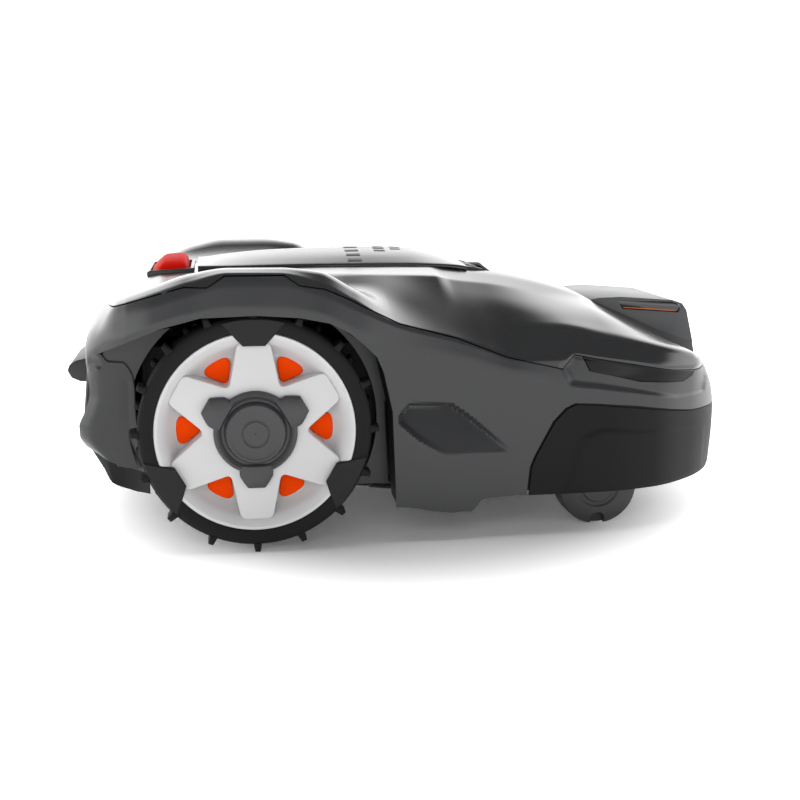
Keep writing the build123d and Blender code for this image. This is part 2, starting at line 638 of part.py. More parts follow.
for name, side in SIDES.items():
    axle_line = Axis((AXLE_X, 0, AXLE_Z), (0, 1, 0))
    with BuildPart() as rim_part:
        with BuildSketch(Plane.YZ.offset(AXLE_X)):
            Polygon(*wheel_profile(RIM_PROFILE, side), align=None)
        revolve(axis=axle_line)
        with BuildSketch(wheel_plane(side, WEB_FRONT - POCKET_DEPTH)):
            with PolarLocations(0, SPOKES):
                Polygon(*POCKET, align=None)
        extrude(amount=20, taper=-18, mode=Mode.SUBTRACT)
    keep(rim_part.part, f"rim_{name}")

    with BuildPart() as tyre:
        with BuildSketch(Plane.YZ.offset(AXLE_X)):
            Polygon(*wheel_profile(TYRE_PROFILE, side), align=None)
        revolve(axis=axle_line)
        for row, (near, far) in enumerate(((TYRE_INNER + 3, 232), (234, WHEEL_FACE - 1))):
            with BuildSketch(wheel_plane(side, near)):
                with PolarLocations(0, LUG_PAIRS, start_angle=-90 + 11.25 * (1 - row)):
                    Polygon((TYRE_R - 2, -8), (TYRE_R - 2, 8), (LUG_R, 5), (LUG_R, -5), align=None)
            extrude(amount=far - near)
    keep(tyre.part, f"tyre_{name}")

    with BuildPart() as inserts:
        with BuildSketch(wheel_plane(side, WEB_FRONT - POCKET_DEPTH)):
            with PolarLocations(0, SPOKES):
                Polygon(*INSERT, align=None)
        extrude(amount=3)
    keep(inserts.part, f"rim_inserts_{name}")

    with BuildPart() as clamps:
        with BuildSketch(wheel_plane(side, WHEEL_FACE)):
            with PolarLocations(0, CLAMPS):
                Polygon(*CLAMP, align=None)
        extrude(amount=CLAMP_THICK)
    keep(clamps.part, f"tyre_clamps_{name}")

    with BuildPart() as hub_cap:
        with BuildSketch(wheel_plane(side, WEB_FRONT)):
            Circle(CAP_R)
        extrude(amount=8)
        with BuildSketch(wheel_plane(side, WEB_FRONT)):
            Circle(CAP_DISC_R)
        extrude(amount=12)
        with BuildSketch(wheel_plane(side, WEB_FRONT)):
            with PolarLocations(0, CAP_LOBES, start_angle=-60):
                Polygon((-15.5, 36), (15.5, 36), (8.5, 53), (-8.5, 53), align=None)
        extrude(amount=7)
    keep(hub_cap.part, f"hub_cap_{name}")

    with BuildPart() as wheel_axle:
        with BuildSketch(wheel_plane(side, 152)):
            Circle(AXLE_R)
        extrude(amount=WEB_FRONT - 1 - 152)
    keep(wheel_axle.part, f"wheel_axle_{name}")

# ---------------------------------------------------------------- casters
for name, side in SIDES.items():
    inner_face = Plane(origin=(CASTER_X, side * ARM_Y[0], CASTER_R), x_dir=(-side, 0, 0), z_dir=(0, side, 0))
    with BuildPart() as caster_arm:
        with BuildSketch(inner_face):
            Circle(12)
            Polygon((side * 12, 0), (-side * 10, 0), (-side * (CASTER_TRAIL + 10), 50),
                    (-side * (CASTER_TRAIL - 10), 50), align=None)
            Circle(CASTER_AXLE_R, mode=Mode.SUBTRACT)
        extrude(amount=ARM_Y[1] - ARM_Y[0])
        with BuildSketch(Plane.XY.offset(CASTER_R + 42)):
            with Locations((SWIVEL_X, side * SWIVEL_Y)):
                Circle(12)
        extrude(amount=SHOULDER_BOTTOM - CASTER_R - 42.5)
        with BuildSketch(Plane.XY.offset(CASTER_R + 42)):
            with Locations((SWIVEL_X, side * SWIVEL_Y)):
                Circle(SWIVEL_R)
        extrude(amount=TUB_TOP - 7 - CASTER_R - 42)
    keep(caster_arm.part, f"caster_arm_{name}")

    with BuildPart() as caster_axle:
        with BuildSketch(inner_face):
            Circle(CASTER_AXLE_R)
        extrude(amount=CASTER_INNER + CASTER_WIDTH - 4 - ARM_Y[0])
    keep(caster_axle.part, f"caster_axle_{name}")

    with BuildPart() as caster_wheel:
        with BuildSketch(inner_face.offset(CASTER_INNER - ARM_Y[0])):
            Circle(CASTER_R)
        extrude(amount=CASTER_WIDTH)
        fillet(caster_wheel.edges().filter_by(GeomType.CIRCLE), 4)
        with BuildSketch(inner_face):
            Circle(CASTER_AXLE_R + RUNNING)
        extrude(amount=CASTER_INNER + CASTER_WIDTH - 3 - ARM_Y[0], mode=Mode.SUBTRACT)
    keep(caster_wheel.part, f"caster_wheel_{name}")

# ---------------------------------------------------------------- cutting unit
with BuildPart() as cutter_carriage:
    with BuildSketch(Plane.XY.offset(MOTOR_BOTTOM)):
        with Locations((CUT_X, 0)):
            Circle(CARRIAGE_R)
            Circle(MOTOR_R, mode=Mode.SUBTRACT)
    extrude(amount=FLANGE_Z + FLANGE_THICK - MOTOR_BOTTOM)
    with BuildSketch(Plane.XY.offset(FLANGE_Z)):
        with Locations((CUT_X, 0)):
            Circle(FLANGE_R)
            Circle(MOTOR_R, mode=Mode.SUBTRACT)
        with Locations(*GUIDES):
            Circle(GUIDE_R + RUNNING, mode=Mode.SUBTRACT)
        with Locations(SCREW):
            Circle(SCREW_R + RUNNING, mode=Mode.SUBTRACT)
    extrude(amount=FLANGE_THICK)
keep(cutter_carriage.part, "cutter_carriage")

with BuildPart() as cutter_motor:
    with BuildSketch(Plane.XY.offset(MOTOR_BOTTOM)):
        with Locations((CUT_X, 0)):
            Circle(MOTOR_R)
            Circle(5 + RUNNING, mode=Mode.SUBTRACT)
    extrude(amount=70)
    with BuildSketch(Plane.XY.offset(MOTOR_BOTTOM + 70)):
        with Locations((CUT_X, 0)):
            Circle(MOTOR_R)
    extrude(amount=12)
    fillet(cutter_motor.edges().sort_by(Axis.Z)[-1], 4)
keep(cutter_motor.part, "cutter_motor")

with BuildPart() as guide_posts:
    with BuildSketch(Plane.XY.offset(RECESS_TOP + WALL)):
        with Locations(*GUIDES):
            Circle(GUIDE_R)
    extrude(amount=LID_TOP - WALL - RECESS_TOP - WALL)
keep(guide_posts.part, "guide_posts")

with BuildPart() as height_screw:
    with BuildSketch(Plane.XY.offset(RECESS_TOP + WALL + 0.3)):
        with Locations(SCREW):
            Circle(SCREW_R)
    extrude(amount=188 - RECESS_TOP - WALL - 0.3)
keep(height_screw.part, "height_screw")

with BuildPart() as height_motor:
    with BuildSketch(Plane.XY.offset(183)):
        with Locations(SCREW):
            Circle(16)
    extrude(amount=LID_TOP - WALL - 183)
    with BuildSketch(Plane.XY.offset(183)):
        with Locations(SCREW):
            Circle(SCREW_R + RUNNING)
    extrude(amount=6, mode=Mode.SUBTRACT)
keep(height_motor.part, "height_motor")

with BuildPart() as blade_disc:
    with BuildSketch(Plane.XY.offset(DISC_Z)):
        with Locations((CUT_X, 0)):
            Circle(DISC_R)
    extrude(amount=DISC_THICK)
    with BuildSketch(Plane.XY.offset(DISC_Z)):
        with Locations((CUT_X, 0)):
            Circle(20)
    extrude(amount=14)
    with BuildSketch(Plane.XY.offset(13.7)):
        with Locations((CUT_X, 0)):
            Circle(5)
    extrude(amount=MOTOR_BOTTOM + 60 - 13.7)
    with BuildSketch(Plane.XY.offset(11)):
        with Locations((CUT_X, 0)):
            Circle(10)
    extrude(amount=2.7)
    with BuildSketch(Plane.XY.offset(DISC_Z)):
        with Locations((CUT_X, 0)):
            with PolarLocations(BLADE_PIVOT_R, BLADES):
                Circle(BLADE_PIN_R)
    extrude(amount=DISC_THICK, mode=Mode.SUBTRACT)
keep(blade_disc.part, "blade_disc")

with BuildPart() as blade_screws:
    with BuildSketch(Plane.XY.offset(24.9)):
        with Locations((CUT_X, 0)):
            with PolarLocations(BLADE_PIVOT_R, BLADES):
                Circle(BLADE_PIN_R)
    extrude(amount=DISC_Z + DISC_THICK - 24.9)
    with BuildSketch(Plane.XY.offset(22.9)):
        with Locations((CUT_X, 0)):
            with PolarLocations(BLADE_PIVOT_R, BLADES):
                Circle(5.5)
    extrude(amount=2)
keep(blade_screws.part, "blade_screws")

for number in range(1, BLADES + 1):
    out = Vector(1, 0, 0).rotate(Axis.Z, 360 / BLADES * (number - 1))
    blade_plane = Plane(origin=Vector(CUT_X, 0, 25.3) + out * BLADE_PIVOT_R, x_dir=out)
    with BuildPart() as blade:
        with BuildSketch(blade_plane):
            with Locations((12.5, 0)):
                RectangleRounded(37, 18, 3)
            Circle(BLADE_PIN_R + RUNNING, mode=Mode.SUBTRACT)
        extrude(amount=1.2)
    keep(blade.part, f"blade_{number}")

with BuildPart() as skid_plate:
    with BuildSketch(Plane.XY.offset(14)):
        with Locations((CUT_X, 0)):
            Circle(82)
    extrude(amount=3)
    with BuildSketch(Plane.XY.offset(14)):
        with Locations((CUT_X, 0)):
            Circle(14)
    extrude(amount=12.6)
    with BuildSketch(Plane.XY.offset(14)):
        with Locations((CUT_X, 0)):
            Circle(5 + RUNNING)
    extrude(amount=20, mode=Mode.SUBTRACT)
keep(skid_plate.part, "skid_plate")
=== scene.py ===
"""Looks of a robotic lawn mower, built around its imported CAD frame. Lengths in the helpers are millimetres."""
import json
import math

import bmesh
import bpy
import numpy as np
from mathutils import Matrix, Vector


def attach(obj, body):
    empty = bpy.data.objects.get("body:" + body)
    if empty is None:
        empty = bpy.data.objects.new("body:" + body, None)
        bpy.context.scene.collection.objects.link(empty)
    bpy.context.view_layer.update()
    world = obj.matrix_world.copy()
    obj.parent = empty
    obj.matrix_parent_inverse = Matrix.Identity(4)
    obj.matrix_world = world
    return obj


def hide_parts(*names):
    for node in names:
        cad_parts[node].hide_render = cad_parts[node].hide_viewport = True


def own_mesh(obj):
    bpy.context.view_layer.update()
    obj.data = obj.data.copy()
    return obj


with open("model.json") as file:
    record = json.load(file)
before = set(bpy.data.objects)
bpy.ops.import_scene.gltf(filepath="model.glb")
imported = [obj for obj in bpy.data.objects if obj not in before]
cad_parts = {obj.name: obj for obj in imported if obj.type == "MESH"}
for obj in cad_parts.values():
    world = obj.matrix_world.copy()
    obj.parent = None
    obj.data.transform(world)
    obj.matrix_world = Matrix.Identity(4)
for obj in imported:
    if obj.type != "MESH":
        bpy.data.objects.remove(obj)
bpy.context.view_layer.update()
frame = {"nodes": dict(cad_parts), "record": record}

MM = 0.001
SIDES = {"right": -1, "left": 1}
WALL = 2.6                       # thickness of the cover's skin
GAP = 0.7                        # half of the joint between two body panels
BUMPER_GAP = 1.5                 # half of the joint round the bumper
OUTSIDE = 330                    # beyond either side of the mower
LENS_INNER = 150                 # the lenses reach in from the side to here
ARCH_INNER = 202.8               # the panels are open outwards of here, round the drive wheels
BACKING_ARCH_INNER = 202.2       # the same for the dark skin behind them
PANEL_CREASE = 28                # edges sharper than this many degrees stay sharp on the panels
AXLE = (-172.0, 124.0)           # X and Z of the drive wheels
CASTER = (196.5, 43.0)           # X and Z of the caster wheels
LUG_PAIRS = 16
KNUCKLES = (-37.5, 37.5)         # Y of the hatch's two knuckles
PIN = (82, 260)                  # X and Z of the hatch pin

# ------------------------------------------------------------------ lines of the cover
# One cross-section of the right half per station, from the centre line outwards and down:
# centre, hatch edge, hood crest, fender foot or wing start, fender or wing crest, seam, lip, upper side,
# lower side, skirt.
STATIONS = {
    -350: [(0, 212), (70, 212), (115, 211), (150, 208), (170, 203), (182, 192), (188, 175), (190, 150),
           (190, 118), (180, 98)],
    -346: [(0, 224), (70, 224), (115, 223), (152, 220), (173, 214), (187, 203), (193, 182), (193, 152),
           (195, 115), (184, 92)],
    -335: [(0, 238), (70, 238), (115, 237), (155, 234), (182, 228), (198, 216), (204, 200), (200, 160),
           (203, 112), (192, 84)],
    -312: [(0, 257), (70, 257), (115, 256), (160, 253), (198, 250), (222, 244), (226, 206), (203, 180),
           (202, 110), (190, 77)],
    -299: [(0, 259), (70, 259), (117, 257.5), (163, 255), (204, 255), (230, 248), (236, 212), (202, 180),
           (202, 110), (192, 75)],
    -270: [(0, 266), (70, 265), (120, 261), (170, 260), (214, 267), (246, 258), (254, 226), (232, 180),
           (228, 110), (215, 70)],
    -235: [(0, 270), (70, 267), (120, 260), (172, 263), (222, 281), (258, 269), (264, 236), (250, 180),
           (250, 110), (245, 60)],
    -195: [(0, 272), (70, 268), (120, 260), (177, 267), (229, 287), (264, 280), (269.5, 240), (252, 180),
           (252, 110), (250, 45)],
    -145: [(0, 274), (70, 270), (120, 262), (180, 267), (231, 287), (264, 279), (270, 239), (252, 180),
           (252, 110), (250, 40)],
    -105: [(0, 275), (70, 271.5), (122, 267), (176, 258), (230, 284), (262, 267), (268, 234), (254, 180),
           (252, 110), (250, 38)],
    -70: [(0, 275), (70, 271.5), (124, 267.5), (172, 252), (226, 265), (257, 250), (263, 213), (254, 170),
          (253, 110), (250, 36)],
    -30: [(0, 275), (70, 271.5), (124, 266.5), (170, 253), (215, 240.5), (252, 229), (254, 200), (254, 150),
          (252, 95), (250, 39)],
    30: [(0, 274), (70, 271), (124, 264.5), (168, 246), (212, 228), (248, 212), (252, 188), (250, 145),
         (250, 94), (249, 31)],
    48: [(0, 272.5), (70, 268.5), (119, 260), (169, 242.5), (210, 225), (247, 206), (251, 184), (249, 139),
         (249, 93), (248, 31)],
    62: [(0, 271), (70, 267), (118, 258), (168.5, 240.5), (209, 222.5), (246, 201), (250, 180), (249, 134),
         (248.5, 93), (247.5, 43.5)],
    95: [(0, 269.5), (70, 264.5), (116, 254), (167, 236), (206, 217), (244, 190), (248, 172), (248, 122),
         (247, 92), (246, 45.5)],
    150: [(0, 259), (68, 255), (112, 243), (165, 230), (212, 217), (239, 190), (243, 160), (244, 128),
          (243, 90), (243, 45)],
    200: [(0, 242), (72, 240), (100, 234), (160, 226), (224, 208), (238, 185), (240.5, 160), (241, 125),
          (240, 85), (239.5, 45)],
    250: [(0, 215), (75, 214), (106, 213), (165, 207), (222, 198), (231, 178), (232, 155), (229, 128),
          (228, 85), (227, 45)],
    300: [(0, 190), (75, 190), (143, 186), (170, 187), (199, 185), (203, 168), (200, 150), (196, 120),
          (195, 85), (193, 44.5)],
    335: [(0, 172), (60, 171), (100, 169), (125, 167), (143, 163), (153, 152), (157, 140), (158, 115),
          (157, 85), (153, 44.5)],
    360: [(0, 138), (50, 137), (75, 136), (90, 134), (99, 130), (106, 123), (110, 112), (111, 100),
          (109, 78), (103, 52)],
    374: [(0, 108), (20, 108), (30, 107), (37, 106), (42, 104), (46, 100), (48, 94), (48, 86),
          (46, 76), (41, 64)],
}
# How softly each line turns, 0 sharp and 0.48 fully round, rear to front
SOFT_AT = (-350, -300, -190, -100, -40, 60, 110, 200, 300, 374)
SOFT = {
    1: (.48, .4, .3, .3, .3, .3, .3, .4, .4, .4),
    2: (.48, .48, .48, .2, .08, .08, .10, .3, .3, .4),
    3: (.48, .48, .48, .48, .48, .48, .36, .40, .3, .4),
    4: (.48, .48, .44, .40, .48, .40, .26, .22, .30, .4),
    5: (.48, .40, .30, .30, .16, .16, .16, .16, .30, .4),
    6: (.48, .20, .30, .30, .48, .48, .48, .48, .40, .4),
    7: (.48, .30, .20, .30, .48, .48, .48, .48, .48, .4),
    8: (.48, .48, .48, .48, .48, .48, .48, .48, .48, .4),
}
# side-view line between top cover and body, rear to front
SEAM = [(-400, 238), (-335, 238), (-311, 245), (-271, 258), (-238, 268), (-216, 268), (-199, 279),
        (-141, 279), (-127, 269), (-102, 265), (-77, 254), (-66, 248), (-26, 228), (33, 212), (86, 191),
        (145, 177), (158, 191), (181, 186.5), (223, 179), (270, 170), (313, 165), (400, 159)]
ARCH = [(-336, 0), (-336, 190), (-330, 196), (-295, 213), (-262, 228), (-223, 239), (-170, 241), (-127, 238),
        (-98, 232), (-77, 221), (-63, 209), (-50, 196), (-43, 180), (-34, 140), (-30, 53), (-28, 0)]
LENS = [(167, 189.2), (181, 186.5), (223, 179), (270, 170), (304, 166.1), (299, 160), (286, 155.5),
        (231, 161), (199, 168.5), (175, 173.5)]
BUMPER = [(109, 0), (109, 46), (112, 76), (117, 88), (136, 123), (149, 136), (159, 140.5), (183, 139),
          (225, 134.5), (259, 129), (299, 121.5), (343, 117.5), (400, 114), (400, 0)]
# lid: station, height on the centre line, height at the edge, lower edge
HATCH = [(-227, 277, 272, 268.0), (-195, 282, 272, 268.8), (-150, 286, 272.5, 270.2), (-95, 288, 273, 271.3),
         (-39, 289, 273, 271.7), (9, 288, 272.7, 271.3), (45, 283, 271.5, 270.0), (66, 277.5, 270, 267.8),
         (76, 273, 268.6, 266.4)]


# ------------------------------------------------------------------ curves and meshes
def pchip(xs, ys, at):
    """Monotone cubic interpolation."""
    xs, ys, at = (np.asarray(v, float) for v in (xs, ys, at))
    h, d = np.diff(xs), np.diff(ys) / np.diff(xs)
    slope = np.zeros(len(xs))
    slope[0], slope[-1] = d[0], d[-1]
    same = d[:-1] * d[1:] > 0
    w1, w2 = 2 * h[1:] + h[:-1], h[1:] + 2 * h[:-1]
    safe = np.where(same, (w1 + w2) / (w1 / np.where(same, d[:-1], 1) + w2 / np.where(same, d[1:], 1)), 0)
    slope[1:-1] = safe
    i = np.clip(np.searchsorted(xs, at) - 1, 0, len(h) - 1)
    t = (at - xs[i]) / h[i]
    return (ys[i] * (1 + 2 * t) * (1 - t) ** 2 + h[i] * slope[i] * t * (1 - t) ** 2
            + ys[i + 1] * t ** 2 * (3 - 2 * t) + h[i] * slope[i + 1] * t ** 2 * (t - 1))


def bent(start, corner, end, steps):
    """Points of the curve that replaces one corner."""
    return [(1 - t) ** 2 * start + 2 * t * (1 - t) * corner + t * t * end for t in np.linspace(0, 1, steps)]


def rounded_section(points, soft, straight=5, turn=7, fine_from=None):
    """Points along an open section with softly turned inner corners, finer from one corner on."""
    out = [points[0]]
    before = points[0]
    for i in range(1, len(points) - 1):
        corner = points[i]
        start = corner + soft[i] * (points[i - 1] - corner)
        end = corner + soft[i] * (points[i + 1] - corner)
        coarse = fine_from is None or i < fine_from
        steps, bend = (straight, turn) if coarse else (2 * straight, 3 * turn)
        out += [before + (start - before) * k / steps for k in range(1, steps)]
        out += bent(start, corner, end, bend)
        before = end
    steps = straight if fine_from is None else 3 * straight
    out += [before + (points[-1] - before) * k / steps for k in range(1, steps + 1)]
    return np.array(out)


def closed_loft(rings, level=False):
    """Vertices and faces of a closed solid through rings of the same length; level ends are made of strips."""
    count = len(rings[0])
    faces = []
    for r in range(len(rings) - 1):
        a, b = r * count, (r + 1) * count
        faces += [(a + k, a + (k + 1) % count, b + (k + 1) % count, b + k) for k in range(count)]
    last = (len(rings) - 1) * count
    for start in (0, last):
        if level:
            faces.append((start, start + 1, start + count - 1))
            faces += [(start + k, start + k + 1, start + count - k - 1, start + count - k)
                      for k in range(1, count // 2)]
        else:
            faces.append(tuple(range(start, start + count)))
    return [p for ring in rings for p in ring], faces


def new_mesh(name, verts, faces):
    """Object from millimetre vertices, with its faces turned outwards."""
    mesh = bpy.data.meshes.new(name)
    mesh.from_pydata([(float(x) * MM, float(y) * MM, float(z) * MM) for x, y, z in verts], [], faces)
    bm = bmesh.new()
    bm.from_mesh(mesh)
    bmesh.ops.recalc_face_normals(bm, faces=bm.faces)
    bm.to_mesh(mesh)
    bm.free()
    obj = bpy.data.objects.new(name, mesh)
    bpy.context.scene.collection.objects.link(obj)
    return obj


def joined(name, ring_sets):
    """One object of several closed lofts."""
    verts, faces = [], []
    for rings in ring_sets:
        more, new_faces = closed_loft(rings)
        faces += [tuple(i + len(verts) for i in face) for face in new_faces]
        verts += more
    return new_mesh(name, verts, faces)


def ring_from_half(x, half):
    """Full closed ring at station x from a right-half section."""
    right = [(x, -y, z) for y, z in half]
    left = [(x, y, z) for y, z in reversed(half) if y > 0]
    return right + left


def prism(name, outline, low, high, axis="Y"):
    """Closed prism of a side-view (X, Z) or plan (X, Y) outline."""
    place = {"Y": lambda a, b, t: (a, t, b), "Z": lambda a, b, t: (a, b, t)}[axis]
    rings = [[place(a, b, t) for a, b in outline] for t in (low, high)]
    return new_mesh(name, *closed_loft(rings))


def slab(side, inner, outer):
    """Lower and upper Y of a slab between two distances from the middle, on one side."""
    return sorted((side * inner, side * outer))


def arc(radius, start, end, count, centre=(0, 0)):
    """Points of an arc between two angles in degrees."""
    return [(centre[0] + radius * math.cos(t), centre[1] + radius * math.sin(t))
            for t in np.radians(np.linspace(start, end, count))]


def box(name, low, high):
    """Closed box between two corners."""
    outline = [(low[0], low[1]), (high[0], low[1]), (high[0], high[1]), (low[0], high[1])]
    return prism(name, outline, low[2], high[2], "Z")


def drop(obj):
    """Remove a helper object."""
    bpy.data.objects.remove(obj, do_unlink=True)


def apply_modifiers(obj):
    """Bake the modifier stack into the mesh."""
    graph = bpy.context.evaluated_depsgraph_get()
    mesh = bpy.data.meshes.new_from_object(obj.evaluated_get(graph))
    obj.modifiers.clear()
    obj.data = mesh
    return obj


def cut(obj, *tools, operation="DIFFERENCE", remove=True):
    """Apply booleans with closed tools."""
    for tool in tools:
        modifier = obj.modifiers.new("cut", "BOOLEAN")
        modifier.solver = "MANIFOLD"
        modifier.operation = operation
        modifier.object = tool
        apply_modifiers(obj)
    if remove:
        for tool in tools:
            drop(tool)
    return obj


def copy_of(obj, name):
    """Independent copy of a helper object."""
    twin = bpy.data.objects.new(name, obj.data.copy())
    bpy.context.scene.collection.objects.link(twin)
    return twin


def shade(obj, angle=32):
    """Smooth shading with sharp edges above an angle."""
    obj.data.shade_smooth()
    obj.data.set_sharp_from_angle(angle=math.radians(angle))
    return obj


def bevel(obj, width, segments=3, angle=30):
    """Round the edges of a piece, width in millimetres."""
    modifier = obj.modifiers.new("bevel", "BEVEL")
    modifier.width = width * MM
    modifier.segments = segments
    modifier.limit_method = "ANGLE"
    modifier.angle_limit = math.radians(angle)
    apply_modifiers(obj)
    return shade(obj)


def finish_piece(obj, body, slot, *nodes):
    """Ride, material slot, material and the CAD nodes it stands for."""
    obj.data.materials.clear()
    obj.data.materials.append(MATERIALS[slot])
    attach(obj, body)
    if nodes:
        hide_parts(*nodes)
    return obj


# ------------------------------------------------------------------ materials
def map_range(nodes, source, target):
    """Node that maps one span of values to another."""
    node = nodes.new("ShaderNodeMapRange")
    node.inputs["From Min"].default_value, node.inputs["From Max"].default_value = source
    node.inputs["To Min"].default_value, node.inputs["To Max"].default_value = target
    return node


def moulded(name, color, rough, grain=0.0, scale=900, spread=0.06, specular=0.5, metal=0.0, coat=0.0,
            brush=(1, 1, 1), glow=0.0):
    """Moulded or cast surface: faint colour clouds, uneven gloss and a fine grain."""
    material = bpy.data.materials.new(name)
    material.use_nodes = True
    nodes, links = material.node_tree.nodes, material.node_tree.links
    shader = nodes["Principled BSDF"]
    place = nodes.new("ShaderNodeTexCoord")
    stretch = nodes.new("ShaderNodeMapping")
    stretch.inputs["Scale"].default_value = brush
    links.new(place.outputs["Object"], stretch.inputs["Vector"])

    clouds = nodes.new("ShaderNodeTexNoise")
    clouds.inputs["Scale"].default_value = 9
    clouds.inputs["Detail"].default_value = 4
    links.new(stretch.outputs["Vector"], clouds.inputs["Vector"])
    tint = nodes.new("ShaderNodeMix")
    tint.data_type = "RGBA"
    low = [c * (1 - spread) for c in color]
    high = [min(c * (1 + spread), 1) for c in color]
    tint.inputs[6].default_value = (*low, 1)
    tint.inputs[7].default_value = (*high, 1)
    links.new(clouds.outputs["Fac"], tint.inputs[0])
    links.new(tint.outputs[2], shader.inputs["Base Color"])

    fine = nodes.new("ShaderNodeTexNoise")
    fine.inputs["Scale"].default_value = scale
    fine.inputs["Detail"].default_value = 3
    links.new(stretch.outputs["Vector"], fine.inputs["Vector"])
    gloss = map_range(nodes, (0, 1), (rough - 0.05, rough + 0.05))
    links.new(clouds.outputs["Fac"], gloss.inputs["Value"])
    links.new(gloss.outputs["Result"], shader.inputs["Roughness"])
    bump = nodes.new("ShaderNodeBump")
    bump.inputs["Strength"].default_value = grain
    bump.inputs["Distance"].default_value = 0.0002
    links.new(fine.outputs["Fac"], bump.inputs["Height"])
    links.new(bump.outputs["Normal"], shader.inputs["Normal"])
    shader.inputs["Specular IOR Level"].default_value = specular
    shader.inputs["Metallic"].default_value = metal
    shader.inputs["Coat Weight"].default_value = coat
    shader.inputs["Coat Roughness"].default_value = 0.12
    if glow:
        shader.inputs["Emission Color"].default_value = (*color, 1)
        shader.inputs["Emission Strength"].default_value = glow
    return material


LOOKS = {
    "cover_plastic": dict(color=(.022, .0225, .0235), rough=.20, grain=.05, scale=1500),
    "body_plastic": dict(color=(.027, .0275, .029), rough=.30, grain=.08, scale=1500, specular=.38),
    "bumper_plastic": dict(color=(.005, .005, .0055), rough=.50, grain=.25, scale=1300, specular=.14),
    "chassis_plastic": dict(color=(.007, .007, .0075), rough=.6, grain=.30, scale=1100, specular=.25),
    "seal_rubber": dict(color=(.02, .02, .02), rough=.75, grain=.3),
    "steel": dict(color=(.60, .60, .62), rough=.30, grain=.2, metal=1, brush=(1, 1, 14), scale=500),
    "bush_plastic": dict(color=(.62, .60, .55), rough=.45, grain=.1),
    "battery_case": dict(color=(.03, .035, .05), rough=.42, grain=.2),
    "circuit_board": dict(color=(.015, .11, .04), rough=.35, grain=.2, spread=.25, scale=260),
    "contact_brass": dict(color=(.76, .58, .25), rough=.22, metal=1, grain=.08),
    "panel_plastic": dict(color=(.022, .022, .024), rough=.48, grain=.25),
    "mount_rubber": dict(color=(.025, .025, .025), rough=.7, grain=.35, scale=600),
    "motor_metal": dict(color=(.50, .51, .53), rough=.42, metal=1, grain=.4, scale=420),
    "handle_plastic": dict(color=(.020, .020, .021), rough=.5, grain=.3),
    "lens": dict(color=(.003, .003, .0035), rough=.12, grain=.02, specular=.15, coat=.05),
    "tower_plastic": dict(color=(.07, .071, .074), rough=.42, grain=.10, scale=1500, specular=.4),
    "visor_gloss": dict(color=(.008, .008, .009), rough=.14, grain=.02, coat=.5),
    "light_orange": dict(color=(.45, .09, .01), rough=.35, grain=.05, glow=.12),
    "plate_plastic": dict(color=(.034, .035, .036), rough=.32, grain=.12),
    "hinge_plastic": dict(color=(.016, .016, .017), rough=.5, grain=.8, scale=700),
    "stop_red": dict(color=(.50, .006, .002), rough=.6, grain=.1, specular=.05),
    "knob_plastic": dict(color=(.05, .05, .053), rough=.5, grain=.3),
    "button_plastic": dict(color=(.6, .6, .61), rough=.4, grain=.1),
    "carriage_plastic": dict(color=(.03, .03, .033), rough=.5, grain=.2),
    "disc_plastic": dict(color=(.03, .03, .032), rough=.5, grain=.3),
    "blade_steel": dict(color=(.66, .66, .68), rough=.24, metal=1, grain=.2, brush=(12, 1, 1)),
    "skid_plastic": dict(color=(.012, .012, .013), rough=.45, grain=.2),
    "tyre_rubber": dict(color=(.009, .009, .0095), rough=.68, grain=.35, scale=900, spread=.12, specular=.14),
    "rim_plastic": dict(color=(.50, .50, .505), rough=.42, grain=.10, scale=1600, spread=.03),
    "insert_orange": dict(color=(.74, .048, .0002), rough=.6, grain=.1, specular=.03),
    "clamp_plastic": dict(color=(.012, .012, .0125), rough=.55, grain=.25, specular=.2),
    "cap_plastic": dict(color=(.032, .032, .034), rough=.46, grain=.2),
    "arm_plastic": dict(color=(.02, .02, .021), rough=.5, grain=.2),
    "caster_plastic": dict(color=(.026, .026, .027), rough=.52, grain=.25),
}
MATERIALS = {name: moulded(name, **look) for name, look in LOOKS.items()}
for part in frame["record"]["subparts"]:
    node = frame["nodes"][part["node"]]
    node.data.materials.clear()
    node.data.materials.append(MATERIALS[part["material_slot"]])

# ------------------------------------------------------------------ cover envelopes
STATION_X = sorted(STATIONS)
EVEN_X = np.round(np.linspace(STATION_X[0], STATION_X[-1], 236), 3)
DENT_X = np.round(np.linspace(-33, 95, 82), 3)
DENSE_X = sorted(set(EVEN_X) | set(DENT_X) | set(STATION_X))


def smooth_side(x, y, z, outline, depth, soft):
    """Push the side inwards inside a side-view outline, with a soft edge."""
    points = np.array(outline, float)
    inside = np.zeros(z.shape, bool)
    near = np.full(z.shape, 1e9)
    for (ax, az), (bx, bz) in zip(points, np.roll(points, -1, 0)):
        crosses = (az > z) != (bz > z)
        span = np.where(bz == az, 1e-9, bz - az)
        inside ^= crosses & (x < (bx - ax) * (z - az) / span + ax)
        squared = max((bx - ax) ** 2 + (bz - az) ** 2, 1e-9)
        t = np.clip(((x - ax) * (bx - ax) + (z - az) * (bz - az)) / squared, 0, 1)
        near = np.minimum(near, np.hypot(x - ax - t * (bx - ax), z - az - t * (bz - az)))
    signed = np.where(inside, near, -near)
    share = np.clip(signed / soft + 0.5, 0, 1)
    return y - depth * share * share * (3 - 2 * share)


